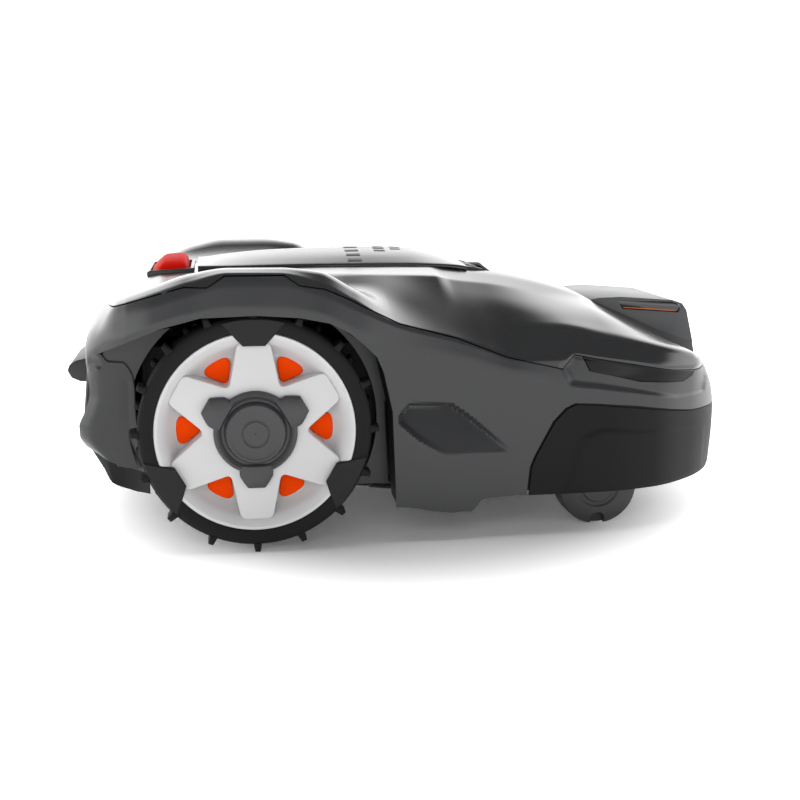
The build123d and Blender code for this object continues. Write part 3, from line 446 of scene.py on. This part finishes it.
# outline in side view, greatest depth, softness of the edge, heights where the depth is none and full
RECESSES = [
    # dent in the side
    ([(-26, 134), (-16, 146), (27, 144), (43, 133), (67, 113), (90, 93), (22, 93), (-7, 111), (-26, 128)],
     15, 5, 92, 140),
    # swell of the bumper
    ([(168, 104), (188, 112), (300, 101), (330, 96), (330, 47), (150, 47)], -1.4, 7, 0, 1),
    # channel round the headlight lens
    ([(146, 179), (151, 170), (155, 162), (168, 160), (182, 158.5), (224, 151.5), (280, 140), (324, 138),
      (330, 150), (330, 168), (300, 167), (257, 173), (223, 180), (181, 187), (157.5, 192)], 3, 6, 0, 1),
    # hollow at the rear corner
    ([(-345, 192), (-318, 199), (-300, 200), (-300, 178), (-345, 185)], 4, 8, 0, 1),
]
SIDE_FROM = 120                  # recesses move only what is further out than this
SKIRT_DROP = 25                  # how far the inner skin runs on below the cover's lower edge


def cover_ring(x, inset):
    """Closed ring of the cover at one station; inset moves it inwards for the inner face."""
    half = np.array([[pchip(STATION_X, [STATIONS[s][i][k] for s in STATION_X], x) for k in (0, 1)]
                     for i in range(10)], float)
    soft = [0.0] + [float(np.interp(x, SOFT_AT, SOFT[i])) for i in range(1, 9)] + [0.0]
    points = rounded_section(half, soft, fine_from=5)
    for outline, depth, edge, none_z, full_z in RECESSES:
        share = np.clip((points[:, 1] - none_z) / (full_z - none_z), 0, 1)
        moved = smooth_side(x, points[:, 0], points[:, 1], outline, depth * share, edge)
        points[:, 0] = np.where(points[:, 0] > SIDE_FROM, moved, points[:, 0])
    if inset:
        along = np.gradient(points, axis=0)
        length = np.maximum(np.hypot(along[:, 0], along[:, 1]), 1e-9)
        inward = np.stack([along[:, 1] / length, -along[:, 0] / length], axis=1)
        points = points + inset * inward
        points[0, 0] = 0
        points[-1, 1] -= SKIRT_DROP
        points[:, 0] = np.maximum(points[:, 0], 0)
    return ring_from_half(x, [tuple(p) for p in points])


# how far the rear face is drawn in at each height, fading out from its end to WAIST_END
WAIST = {60: 22, 70: 22, 85: 17, 100: 4, 110: 0, 120: 0, 135: 6, 156: 12, 170: 11, 199: 8, 212: 8, 225: 12,
         260: 14}
WAIST_END = -296
WAIST_LENGTH = 54


def waisted(ring):
    """Ring with the rear end drawn in by height."""
    heights, depths = list(WAIST), list(WAIST.values())
    out = []
    for x, y, z in ring:
        depth = float(pchip(heights, depths, min(max(z, heights[0]), heights[-1])))
        out.append((x + depth * min(max((WAIST_END - x) / WAIST_LENGTH, 0), 1), y, z))
    return out


def inner_skin(name, inset):
    """Closed solid that fills the cover, inset from its outside."""
    low, high = DENSE_X[0], DENSE_X[-1]
    outer_x = (low, low + 12, high - 12, high)
    inner_x = (low + inset, low + 12, high - 12, high - inset)
    rings = []
    for x in DENSE_X[::2]:
        at = float(np.interp(x, outer_x, inner_x))
        rings.append(waisted([(at, y, z) for _, y, z in cover_ring(x, inset)]))
    return new_mesh(name, *closed_loft(rings))


envelope = new_mesh("envelope", *closed_loft([waisted(cover_ring(x, 0)) for x in DENSE_X], True))
hollow = inner_skin("hollow", WALL)
shell = cut(copy_of(envelope, "shell"), hollow)


def lifted(outline, dz):
    """Side-view outline moved up by dz."""
    return [(x, z + dz) for x, z in outline]


def side_zone(dz):
    """Region of the body panels, below the seam."""
    zone = prism("side_zone", lifted(SEAM, dz) + [(400, -20), (-400, -20)], -320, 320)
    cut(zone, box("deck", (-296, -206, 185), (124, 206, 340)))
    cut(zone, box("fender_top", (-260, -243, 185), (-80, 243, 340)))
    return zone


def grown(outline, by):
    """Outline scaled out from its middle by about the given distance."""
    points = np.array(outline, float)
    middle = points.mean(0)
    away = points - middle
    length = np.maximum(np.hypot(away[:, 0], away[:, 1]), 1e-9)[:, None]
    return [tuple(p) for p in points + away / length * by]


def side_prisms(name, outline, inner):
    """The same side-view prism on both sides, from a distance outwards."""
    return [prism(f"{name}_{side}", outline, *slab(side, inner, OUTSIDE)) for side in SIDES.values()]


def boxes(corners):
    """Closed boxes from a table of names and corners."""
    return [box(name, low, high) for name, (low, high) in corners.items()]


def bumper_zone(by):
    """Region of the bumper, grown by a distance."""
    return prism("bumper_zone", grown(BUMPER, by), -OUTSIDE, OUTSIDE)


def lens_zones(by):
    """Regions of the two headlight lenses, grown by a distance."""
    return side_prisms("lens", grown(LENS, by), LENS_INNER)


# ------------------------------------------------------------------ cover panels
# openings for the control panel, the stop button's tray and the hinge cover
TOP_WELLS = {"panel_well": ((-200, -57, 230), (50, 57, 300)),
             "stop_well": ((-283.2, -63.2, 236), (-230.8, 63.2, 300)),
             "hinge_well": ((66, -64, 236), (104, 64, 300))}
top_cover = copy_of(shell, "top_cover_shell")
cut(top_cover, side_zone(GAP), bumper_zone(BUMPER_GAP), *lens_zones(GAP),
    *side_prisms("arch", ARCH, ARCH_INNER))
cut(top_cover, *boxes(TOP_WELLS))
shade(top_cover, PANEL_CREASE)
finish_piece(top_cover, "cover", "cover_plastic", "top_cover")

body_shell = copy_of(shell, "body_panels")
cut(body_shell, side_zone(-GAP), operation="INTERSECT")
cut(body_shell, bumper_zone(BUMPER_GAP), *lens_zones(GAP), *side_prisms("arch", ARCH, ARCH_INNER))
cut(body_shell, box("handle_opening", (-370, -72, 118), (-330, 72, 180)))
shade(body_shell, PANEL_CREASE)
finish_piece(body_shell, "cover", "body_plastic", "body_shell")

front_bumper = copy_of(shell, "bumper_shell")
cut(front_bumper, bumper_zone(-BUMPER_GAP), operation="INTERSECT")
shade(front_bumper, PANEL_CREASE)
finish_piece(front_bumper, "cover", "bumper_plastic", "front_bumper")

for name, zone in zip(SIDES, lens_zones(-GAP)):
    lens = copy_of(shell, f"headlight_lens_{name}")
    cut(lens, zone, operation="INTERSECT")
    shade(lens, PANEL_CREASE)
    finish_piece(lens, "cover", "lens", *(["headlights"] if name == "right" else []))

# dark skin behind the joints of the panels, with its own slightly wider openings
BACKING_WELLS = {"handle_opening": ((-370, -73, 117), (-330, 73, 181)),
                 "panel_well": ((-200, -57, 230), (50, 57, 300)),
                 "stop_well": ((-284, -64, 232), (-230, 64, 300)),
                 "hinge_well": ((65, -65, 232), (105, 65, 300))}
backing = cut(inner_skin("joint_backing", WALL + 0.4), inner_skin("backing_inside", WALL + 1.4))
cut(backing, box("below", (-400, -OUTSIDE, -60), (400, OUTSIDE, 50)),
    *side_prisms("arch", ARCH, BACKING_ARCH_INNER), *boxes(BACKING_WELLS))
shade(backing, PANEL_CREASE)
finish_piece(backing, "cover", "chassis_plastic")

# inner walls of the wheel arches, open round the wheel
WALL_REAR = [(-312, 80), (-325, 104), (-329, 120), (-324, 150), (-322, 198)]
WALL_FRONT = [(-36, 140), (-32, 53)]
wall_outline = WALL_REAR + lifted(ARCH[3:-2], 3) + WALL_FRONT + arc(128, -34, 202, 60, AXLE)
for name, side in SIDES.items():
    wall = prism(f"arch_wall_{name}", wall_outline, *slab(side, 198.6, 201.2))
    shade(wall, PANEL_CREASE)
    finish_piece(wall, "cover", "body_plastic")

# linings of the wheel wells in front of the drive wheels
WELL = [(-98, 233), (-63, 209), (-50, 198), (-45, 188), (-34, 140), (-30, 53), (-29, 42)]
for name, side in SIDES.items():
    strip = WELL + [(x + 2, z + 1) for x, z in reversed(WELL)]
    lining = prism(f"well_lining_{name}", strip, *slab(side, 205, 248))
    shade(lining, PANEL_CREASE)
    finish_piece(lining, "cover", "chassis_plastic")


# ------------------------------------------------------------------ hatch
def hatch_half(centre, edge, low, inset):
    """Right-half section of the lid."""
    half = 70 - inset
    corners = np.array([(0, centre), (0.5 * half, centre - 0.34 * (centre - edge)), (half - 3.5, edge + 1.8),
                        (half, edge + 0.3), (half, low)], float)
    corners[:4, 1] -= inset
    corners[4, 1] -= 10 * (inset > 0)
    points = rounded_section(corners, [0, .48, .4, .35, 0], 4, 6)
    return [tuple(p) for p in points]


def hatch_rings(inset):
    """Dense rings of the lid from rear to front."""
    xs, tops, edges, lows = (list(v) for v in zip(*HATCH))
    rings = []
    for x in np.linspace(xs[0], xs[-1], 70):
        centre, edge, low = (float(pchip(xs, v, x)) for v in (tops, edges, lows))
        at = min(max(x, xs[0] + inset), xs[-1] - inset)
        rings.append(ring_from_half(at, hatch_half(centre, edge, low, inset)))
    return rings


def lid_height(x, y):
    """Height of the lid's top surface."""
    xs, tops, edges, _ = (list(v) for v in zip(*HATCH))
    half = np.array(hatch_half(float(pchip(xs, tops, x)), float(pchip(xs, edges, x)), 0, 0))
    return float(np.interp(abs(y), half[:, 0], half[:, 1]))


hatch = new_mesh("hatch_skin", *closed_loft(hatch_rings(0)))
cut(hatch, new_mesh("hatch_inside", *closed_loft(hatch_rings(WALL))))
knuckle = [(-8, 12), (-13, 12), (-13, 5), (-5, 0), (-3.5, -3.5), (0, -5), (3.5, -3.5), (5, 0), (3.5, 3.5),
           (0, 5)]
for y in KNUCKLES:
    arm = prism("knuckle", [(PIN[0] + a, PIN[1] + b) for a, b in knuckle], y - 8, y + 8)
    cut(arm, prism("pin_hole", arc(2.55, 0, 345, 24, PIN), y - 20, y + 20))
    cut(hatch, arm, operation="UNION")
bevel(hatch, 0.5, 2, 40)
finish_piece(hatch, "hatch", "cover_plastic", "hatch_lid")

# plain raised bars on the lid: X, Y, width, depth
bars = [(-59, -62 + 18 * k, 16, 9) for k in range(7)]
bars += [(-25, -26 + 13 * k, 13, 8) for k in range(4)]
bars += [(-5, -16 + 11 * k, 12, 6) for k in range(3)]
mark_verts, mark_faces = [], []
for x, y, width, deep in bars:
    base = len(mark_verts)
    for dz in (-0.8, 0.25):
        for a, b in ((x, y), (x + width, y), (x + width, y + deep), (x, y + deep)):
            mark_verts.append((a, b, lid_height(a, b) + dz))
    mark_faces += [tuple(base + i for i in f) for f in
                   ((0, 3, 2, 1), (4, 5, 6, 7), (0, 1, 5, 4), (1, 2, 6, 5), (2, 3, 7, 6), (3, 0, 4, 7))]
marks = new_mesh("hatch_marks", mark_verts, mark_faces)
bevel(marks, 0.3, 2)
finish_piece(marks, "hatch", "hinge_plastic")

# hinge cover: textured black block with a crowned top
hinge = prism("hinge_block", [(66.5, 250), (66.5, 266.5), (70, 269.2), (84, 268.6), (97, 265.6), (103.4, 262.6),
                              (103.4, 250)], -63.5, 63.5)
for y in KNUCKLES:
    cut(hinge, box("knuckle_slot", (68.5, y - 9.5, 245), (98, y + 9.5, 280)))
bevel(hinge, 1.6, 3, 25)
finish_piece(hinge, "cover", "hinge_plastic", "hinge_cover")

# ------------------------------------------------------------------ stop button and its plate
plate = prism("stop_tray", [(-283, 248), (-283, 266.6), (-279, 268.6), (-231, 271), (-231, 248)], -63, 63)
cut(plate, box("tray_well", (-279.6, -60, 251), (-235.4, 60, 300)))
bevel(plate, 0.8, 3, 30)
finish_piece(plate, "cover", "plate_plastic", "stop_plate")


def button_ring(x, top, half):
    """Closed ring of the crowned stop button."""
    corners = np.array([(0, top), (half * 0.55, top - 1.6), (half - 7, top - 5.2), (half - 1.5, top - 9.5),
                        (half, 258)], float)
    return ring_from_half(x, [tuple(p) for p in rounded_section(corners, [0, .48, .48, .4, 0], 3, 6)])


# station, height of the crown, half width
BUTTON = [(-279, 266, 57), (-278, 269, 58.6), (-271, 276.5, 59), (-266.5, 280.6, 59), (-263, 282.3, 59.2),
          (-255, 282.9, 59.2), (-246, 283, 59.2), (-241.5, 282.2, 59), (-239.5, 279.5, 58.8),
          (-236.6, 270, 58.4), (-236, 266, 57.5)]
button = new_mesh("stop_cap", *closed_loft([button_ring(*row) for row in BUTTON]))
bevel(button, 0.7, 2, 38)
finish_piece(button, "stop_button", "stop_red", "stop_button")


def lathe(name, profile, centre, segments=96):
    """Closed body turned about the Y axis from (radius, y) points."""
    rings = []
    for k in range(segments):
        t = 2 * math.pi * k / segments
        rings.append([(centre[0] + r * math.cos(t), y, centre[1] + r * math.sin(t)) for r, y in profile])
    count = len(profile)
    faces = []
    for r in range(segments):
        a, b = r * count, ((r + 1) % segments) * count
        faces += [(a + k, a + (k + 1) % count, b + (k + 1) % count, b + k) for k in range(count)]
    return new_mesh(name, [p for ring in rings for p in ring], faces)


# stop spring: three turns of round wire
COIL_X, COIL_LOW, COIL_RISE = -257.5, 251.7, 5.6
COIL_RADIUS, WIRE_RADIUS = 8, 0.6
COIL_STEPS, TURN_STEPS, WIRE_STEPS = 108, 36, 8
coil_rings = []
for step in range(COIL_STEPS + 1):
    turn = 2 * math.pi * step / TURN_STEPS
    ring = []
    for k in range(WIRE_STEPS):
        lean = 2 * math.pi * k / WIRE_STEPS
        reach = COIL_RADIUS + WIRE_RADIUS * math.cos(lean)
        ring.append((COIL_X + reach * math.cos(turn), reach * math.sin(turn),
                     COIL_LOW + COIL_RISE * step / COIL_STEPS + WIRE_RADIUS * math.sin(lean)))
    coil_rings.append(ring)
spring = new_mesh("stop_coil", *closed_loft(coil_rings))
shade(spring, 60)
finish_piece(spring, "cover", "steel", "stop_spring")
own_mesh(spring)

# ------------------------------------------------------------------ sensor tower
tower_side = [(216, 180), (216, 229), (232, 232), (258, 232.6), (320, 228), (332, 224), (337.6, 216),
              (349, 168), (349, 150), (300, 150)]
SLOT = [(253.4, 228.6), (260, 218.4), (327.7, 213.4), (331.5, 218), (329.5, 221.8), (320, 226)]
tower = prism("tower_block", tower_side, -74.6, 74.6)
facet = [(205, 237), (310, 190), (337, 181), (352, 176), (352, 140), (205, 140)]
for side in SIDES.values():
    cut(tower, prism("visor_slot", SLOT, *slab(side, 70.5, 80)))
    cut(tower, prism("tower_facet", facet, *slab(side, 72.4, 80)))
cut(tower, box("front_slot", (327.5, -70.5, 215.5), (350, 70.5, 224.5)))
cut(tower, envelope, remove=False)
bevel(tower, 1.6, 3, 24)
finish_piece(tower, "cover", "tower_plastic", "sensor_tower")

for name, side in SIDES.items():
    visor = prism(f"visor_{name}", grown(SLOT, -0.6), *slab(side, 70, 72.6))
    bevel(visor, 0.4, 2)
    finish_piece(visor, "cover", "visor_gloss", *(["sensor_visor"] if side < 0 else []))
    light = prism(f"light_{name}", [(261, 220.8), (324, 216.1), (324, 214.8), (261, 219.5)],
                  *slab(side, 70, 73.2))
    bevel(light, 0.2, 2)
    finish_piece(light, "cover", "light_orange", *(["status_light"] if side < 0 else []))
front_visor = box("visor_front", (325, -70, 216), (328.6, 70, 224))
bevel(front_visor, 0.4, 2)
finish_piece(front_visor, "cover", "visor_gloss")

# ------------------------------------------------------------------ drive wheels
def wheel_point(side, along, up, out):
    """Point on a drive wheel: along and up in its plane, out from the middle of the mower."""
    return (AXLE[0] - side * along, side * out, AXLE[1] + up)


def wheel_rings(side, *layers):
    """Rings across a drive wheel from (outline, distance out) layers."""
    return [[wheel_point(side, a, b, out) for a, b in outline] for outline, out in layers]


def polar(points, turn):
    """Rotate (radius-direction, sideways) points about the axle by turn degrees."""
    c, s = math.cos(math.radians(turn)), math.sin(math.radians(turn))
    return [(a * c - b * s, a * s + b * c) for a, b in points]


def corner_rounded(outline, radius, steps=4):
    """Closed outline with every corner replaced by a short curve."""
    points = np.array(outline, float)
    out = []
    for i, corner in enumerate(points):
        a, b = points[i - 1] - corner, points[(i + 1) % len(points)] - corner
        la, lb = np.hypot(*a), np.hypot(*b)
        start, end = corner + a / la * min(radius, la * .45), corner + b / lb * min(radius, lb * .45)
        out += [tuple(point) for point in bent(start, corner, end, steps)]
    return out


def spoke_star(apex, end, spread):
    """Outline of the six-spoke plate: notches at 0, 60 ... degrees, flat spoke ends between them."""
    points = []
    for k in range(6):
        for r, t in ((apex, 60 * k), (end, 60 * k + spread), (end, 60 * k + 60 - spread)):
            points.append((r * math.cos(math.radians(t)), r * math.sin(math.radians(t))))
    return points


RIM_BOWL = [(8, 185), (22, 185), (22, 232), (84, 232), (94, 206), (100, 206), (100, 260.5), (99.2, 262),
            (96.4, 262), (94.5, 260.6), (90, 256.2), (86, 250), (81, 241), (76, 237.6), (70, 236.6),
            (44, 236.6), (8, 236.6)]
TYRE_RING = [(100, 204), (109, 204), (113.5, 206), (116, 211), (116, 256), (115.2, 259), (113, 261.2),
             (110, 262), (101.2, 262), (100, 261)]
CAP_RING = [(0.5, 258), (41.5, 258), (41.5, 262.2), (40.4, 264.0), (38.6, 264.6), (36.6, 263.8), (33.6, 261.6),
            (31.4, 261.6), (30.2, 264), (29.5, 268.4), (28.4, 269.8), (26.8, 270), (25.6, 269.4), (24.6, 269.2),
            (14.2, 269.2), (13.4, 268.5), (12.6, 268.5), (11.8, 269.2), (0.5, 269.2)]

LUG_PITCH = 360 / LUG_PAIRS
# inner and outer row of lugs: from, to, tip radius, half width at the foot and at the tip, degrees of lead
LUG_ROWS = [(208, 232, 121.5, 3.6, 2.2, LUG_PITCH / 2), (236, 261, 123.9, 4.2, 2.6, 0)]
# distance out and growth of the outline at each layer
INSERT_LAYERS = [(234, 0), (239.4, 0), (240.2, -0.8)]
CLAMP_LAYERS = [(256, 0), (262.6, 0), (263.6, -1.2)]
INSERT = [(52, 0), (71.5, 15), (77.5, 11.5), (78.8, 0), (77.5, -11.5), (71.5, -15)]
CLAMP = [(86.5, -11), (98, -21.5)] + arc(113.5, -16, 16, 9) + [(98, 21.5), (86.5, 11)]
LOBE_FOOT = [(32, -17), (44, -16.5), (50, -13), (56.5, -8.5), (56.5, 8.5), (50, 13), (44, 16.5), (32, 17)]
LOBE_CROWN = [(33, -15), (44, -14), (49.5, -11), (55, -7), (55, 7), (49.5, 11), (44, 14), (33, 15)]
LOBE_CREST = [(33.5, -6), (42, -6), (47, -5), (51, -3.5), (51, 3.5), (47, 5), (42, 6), (33.5, 6)]
LOBE = [(LOBE_FOOT, 258), (LOBE_FOOT, 262.5), (LOBE_CROWN, 264.2), (LOBE_CREST, 266.0)]

for name, side in SIDES.items():
    body = f"wheel_{name}"
    rim = lathe(f"rim_dish_{name}", [(r, side * y) for r, y in RIM_BOWL], AXLE, 120)
    star = corner_rounded(spoke_star(50, 91, 20), 6, 5)
    plate_star = new_mesh("star", *closed_loft(wheel_rings(side, (grown(star, 3), 234), (star, 257.5))))
    bevel(plate_star, 1.2, 3, 30)
    cut(rim, plate_star, operation="UNION")
    shade(rim, 34)
    finish_piece(rim, body, "rim_plastic", f"rim_{name}")

    tyre = lathe(f"tyre_ring_{name}", [(r, side * y) for r, y in TYRE_RING], AXLE, 160)
    shade(tyre, 40)
    finish_piece(tyre, body, "tyre_rubber", f"tyre_{name}")
    lug_sets = []
    for near, far, tall, foot, tip, lead in LUG_ROWS:
        for k in range(LUG_PAIRS):
            turn = -90 + LUG_PITCH * k + lead
            outer = polar([(114, -foot), (114, foot), (119, tip + 1), (tall, tip), (tall, -tip),
                           (119, -tip - 1)], turn)
            inner = polar([(114, -foot), (114, foot), (118, tip), (tall - 3, tip - .5), (tall - 3, -tip + .5),
                           (118, -tip)], turn)
            lug_sets.append(wheel_rings(side, (inner, near), (outer, near + 3), (outer, far - 3), (inner, far)))
    lugs = joined(f"tyre_lugs_{name}", lug_sets)
    bevel(lugs, 0.6, 2, 40)
    finish_piece(lugs, body, "tyre_rubber")

    insert_sets = []
    for k in range(6):
        flat = corner_rounded(polar(INSERT, 60 * k), 5, 5)
        insert_sets.append(wheel_rings(side, *((grown(flat, by), out) for out, by in INSERT_LAYERS)))
    inserts = joined(f"inserts_{name}", insert_sets)
    shade(inserts, 30)
    finish_piece(inserts, body, "insert_orange", f"rim_inserts_{name}")

    clamp_sets = []
    for k in range(3):
        flat = polar(CLAMP, 90 + 120 * k)
        clamp_sets.append(wheel_rings(side, *((grown(flat, by), out) for out, by in CLAMP_LAYERS)))
    clamps = joined(f"clamps_{name}", clamp_sets)
    shade(clamps, 25)
    finish_piece(clamps, body, "clamp_plastic", f"tyre_clamps_{name}")

    cap = lathe(f"cap_{name}", [(r, side * y) for r, y in CAP_RING], AXLE, 96)
    shade(cap, 34)
    finish_piece(cap, body, "cap_plastic", f"hub_cap_{name}")
    lobe_sets = [wheel_rings(side, *((polar(outline, 30 + 120 * k), out) for outline, out in LOBE))
                 for k in range(3)]
    lobes = joined(f"cap_lobes_{name}", lobe_sets)
    bevel(lobes, 1.0, 3, 20)
    finish_piece(lobes, body, "cap_plastic")

# ------------------------------------------------------------------ casters
CASTER_RING = [(6.05, 173), (38, 173), (42, 174.4), (43, 177), (43, 203), (42, 205.6), (40.5, 206.6),
               (24, 206.8), (22.6, 205.6), (20.4, 205.2), (18.6, 205.6), (17.4, 206.9), (6.05, 206.9)]
notch = [(8, -44)]
notch += [(8 * math.cos(t), -36 + 6 * math.sin(t)) for t in np.linspace(0, math.pi, 10)]
notch = [(CASTER[0] + a, CASTER[1] + b) for a, b in notch + [(-8, -44)]]
for name, side in SIDES.items():
    wheel = lathe(f"caster_tread_{name}", [(r, side * y) for r, y in CASTER_RING], CASTER, 96)
    cut(wheel, prism("notch", notch, *slab(side, 196, 215)))
    shade(wheel, 34)
    finish_piece(wheel, f"caster_wheel_{name}", "caster_plastic", f"caster_wheel_{name}")

# ------------------------------------------------------------------ carry handle
handle = prism("handle_bar", [(-303, 145), (-303, 174), (-352, 172), (-365, 169), (-372, 164), (-374, 158),
                              (-370, 150), (-360, 145.5)], -62, 62)
cut(handle, box("grip", (-344, -48, 100), (-306, 48, 200)))
bevel(handle, 3, 4, 30)
finish_piece(handle, "chassis", "handle_plastic", "carry_handle")

for helper in (envelope, shell):
    drop(helper)

# ------------------------------------------------------------------ floor, light and camera
SKY_LEAN = 0.3                   # how much further up the sky is bright behind the mower
SKY_EDGE = (-0.48, -0.26)        # minus the sine of the elevation: dark above the first, bright below the second
SKY_LEVEL = (0.06, 2.9)
PAINTED_SHADOW_STRETCH = (2.1, 1.6, 0)    # makes the painted shadow under the mower, a darker patch in the floor's glow, an oval
PAINTED_SHADOW_EDGE = (0.46, 0.82)        # stretched distances between which the floor's glow rises out of the painted shadow
# glow of the floor, dim under the mower as a painted shadow and bright further out
FLOOR_GLOW = (0.05, 0.8)
TOP_POWER = 70
SIDE_POWER = 30
CAMERA_AT = (-.2042, -1.517, .392)
CAMERA_YAW = math.radians(8.0)
CAMERA_PITCH = math.radians(10.67)
floor_corners = [(-6000, -4000, 0), (6000, -4000, 0), (6000, 9000, 0), (-6000, 9000, 0)]
floor = new_mesh("floor", floor_corners, [(0, 1, 2, 3)])
floor_material = moulded("pale_floor_painted_shadow", (.86, .86, .86), .6, grain=.02, spread=.004)
floor_nodes, floor_links = floor_material.node_tree.nodes, floor_material.node_tree.links
floor_shader = floor_nodes["Principled BSDF"]
spot = floor_nodes.new("ShaderNodeTexCoord")
oval = floor_nodes.new("ShaderNodeMapping")
oval.inputs["Scale"].default_value = PAINTED_SHADOW_STRETCH
floor_links.new(spot.outputs["Object"], oval.inputs["Vector"])
away = floor_nodes.new("ShaderNodeVectorMath")
away.operation = "LENGTH"
floor_links.new(oval.outputs["Vector"], away.inputs[0])
# painted shadow: the floor's glow is dimmed round the mower and rises with distance
painted_shadow_glow = map_range(floor_nodes, PAINTED_SHADOW_EDGE, FLOOR_GLOW)
painted_shadow_glow.interpolation_type = "SMOOTHSTEP"
floor_links.new(away.outputs["Value"], painted_shadow_glow.inputs["Value"])
floor_shader.inputs["Emission Color"].default_value = (1, 1, 1, 1)
floor_links.new(painted_shadow_glow.outputs["Result"], floor_shader.inputs["Emission Strength"])
floor.data.materials.append(floor_material)

world = bpy.data.worlds.new("studio")
bpy.context.scene.world = world
world.use_nodes = True
sky_nodes, sky_links = world.node_tree.nodes, world.node_tree.links
heading = sky_nodes.new("ShaderNodeTexCoord")
lean = sky_nodes.new("ShaderNodeVectorMath")
lean.operation = "DOT_PRODUCT"
lean.inputs[1].default_value = (0, SKY_LEAN, -1)
sky_links.new(heading.outputs["Generated"], lean.inputs[0])
fall = map_range(sky_nodes, SKY_EDGE, SKY_LEVEL)
sky_links.new(lean.outputs["Value"], fall.inputs["Value"])
sky = sky_nodes["Background"]
sky.inputs["Color"].default_value = (1, 1, 1, 1)
sky_links.new(fall.outputs["Result"], sky.inputs["Strength"])


def area_light(name, place, target, size, power):
    """Soft box aimed at a point, in metres."""
    data = bpy.data.lights.new(name, "AREA")
    data.shape = "RECTANGLE"
    data.size, data.size_y = size
    data.energy = power
    light = bpy.data.objects.new(name, data)
    bpy.context.scene.collection.objects.link(light)
    light.visible_glossy = False
    light.location = place
    light.rotation_euler = (Vector(target) - Vector(place)).to_track_quat("-Z", "Y").to_euler()


area_light("top_box", (0, .3, 3), (0, 0, 0), (3, 3), TOP_POWER)
area_light("side_box", (-.6, -3, 1.5), (0, 0, .1), (2.5, 1.5), SIDE_POWER)

camera_data = bpy.data.cameras.new("camera")
camera_data.lens = 58
camera_data.sensor_width = 36
camera_data.clip_end = 100
camera = bpy.data.objects.new("camera", camera_data)
bpy.context.scene.collection.objects.link(camera)
camera.location = CAMERA_AT
aim = Vector((math.sin(CAMERA_YAW) * math.cos(CAMERA_PITCH), math.cos(CAMERA_YAW) * math.cos(CAMERA_PITCH),
              -math.sin(CAMERA_PITCH)))
camera.rotation_euler = aim.to_track_quat("-Z", "Y").to_euler()
bpy.context.scene.camera = camera
bpy.context.scene.view_settings.view_transform = "Standard"
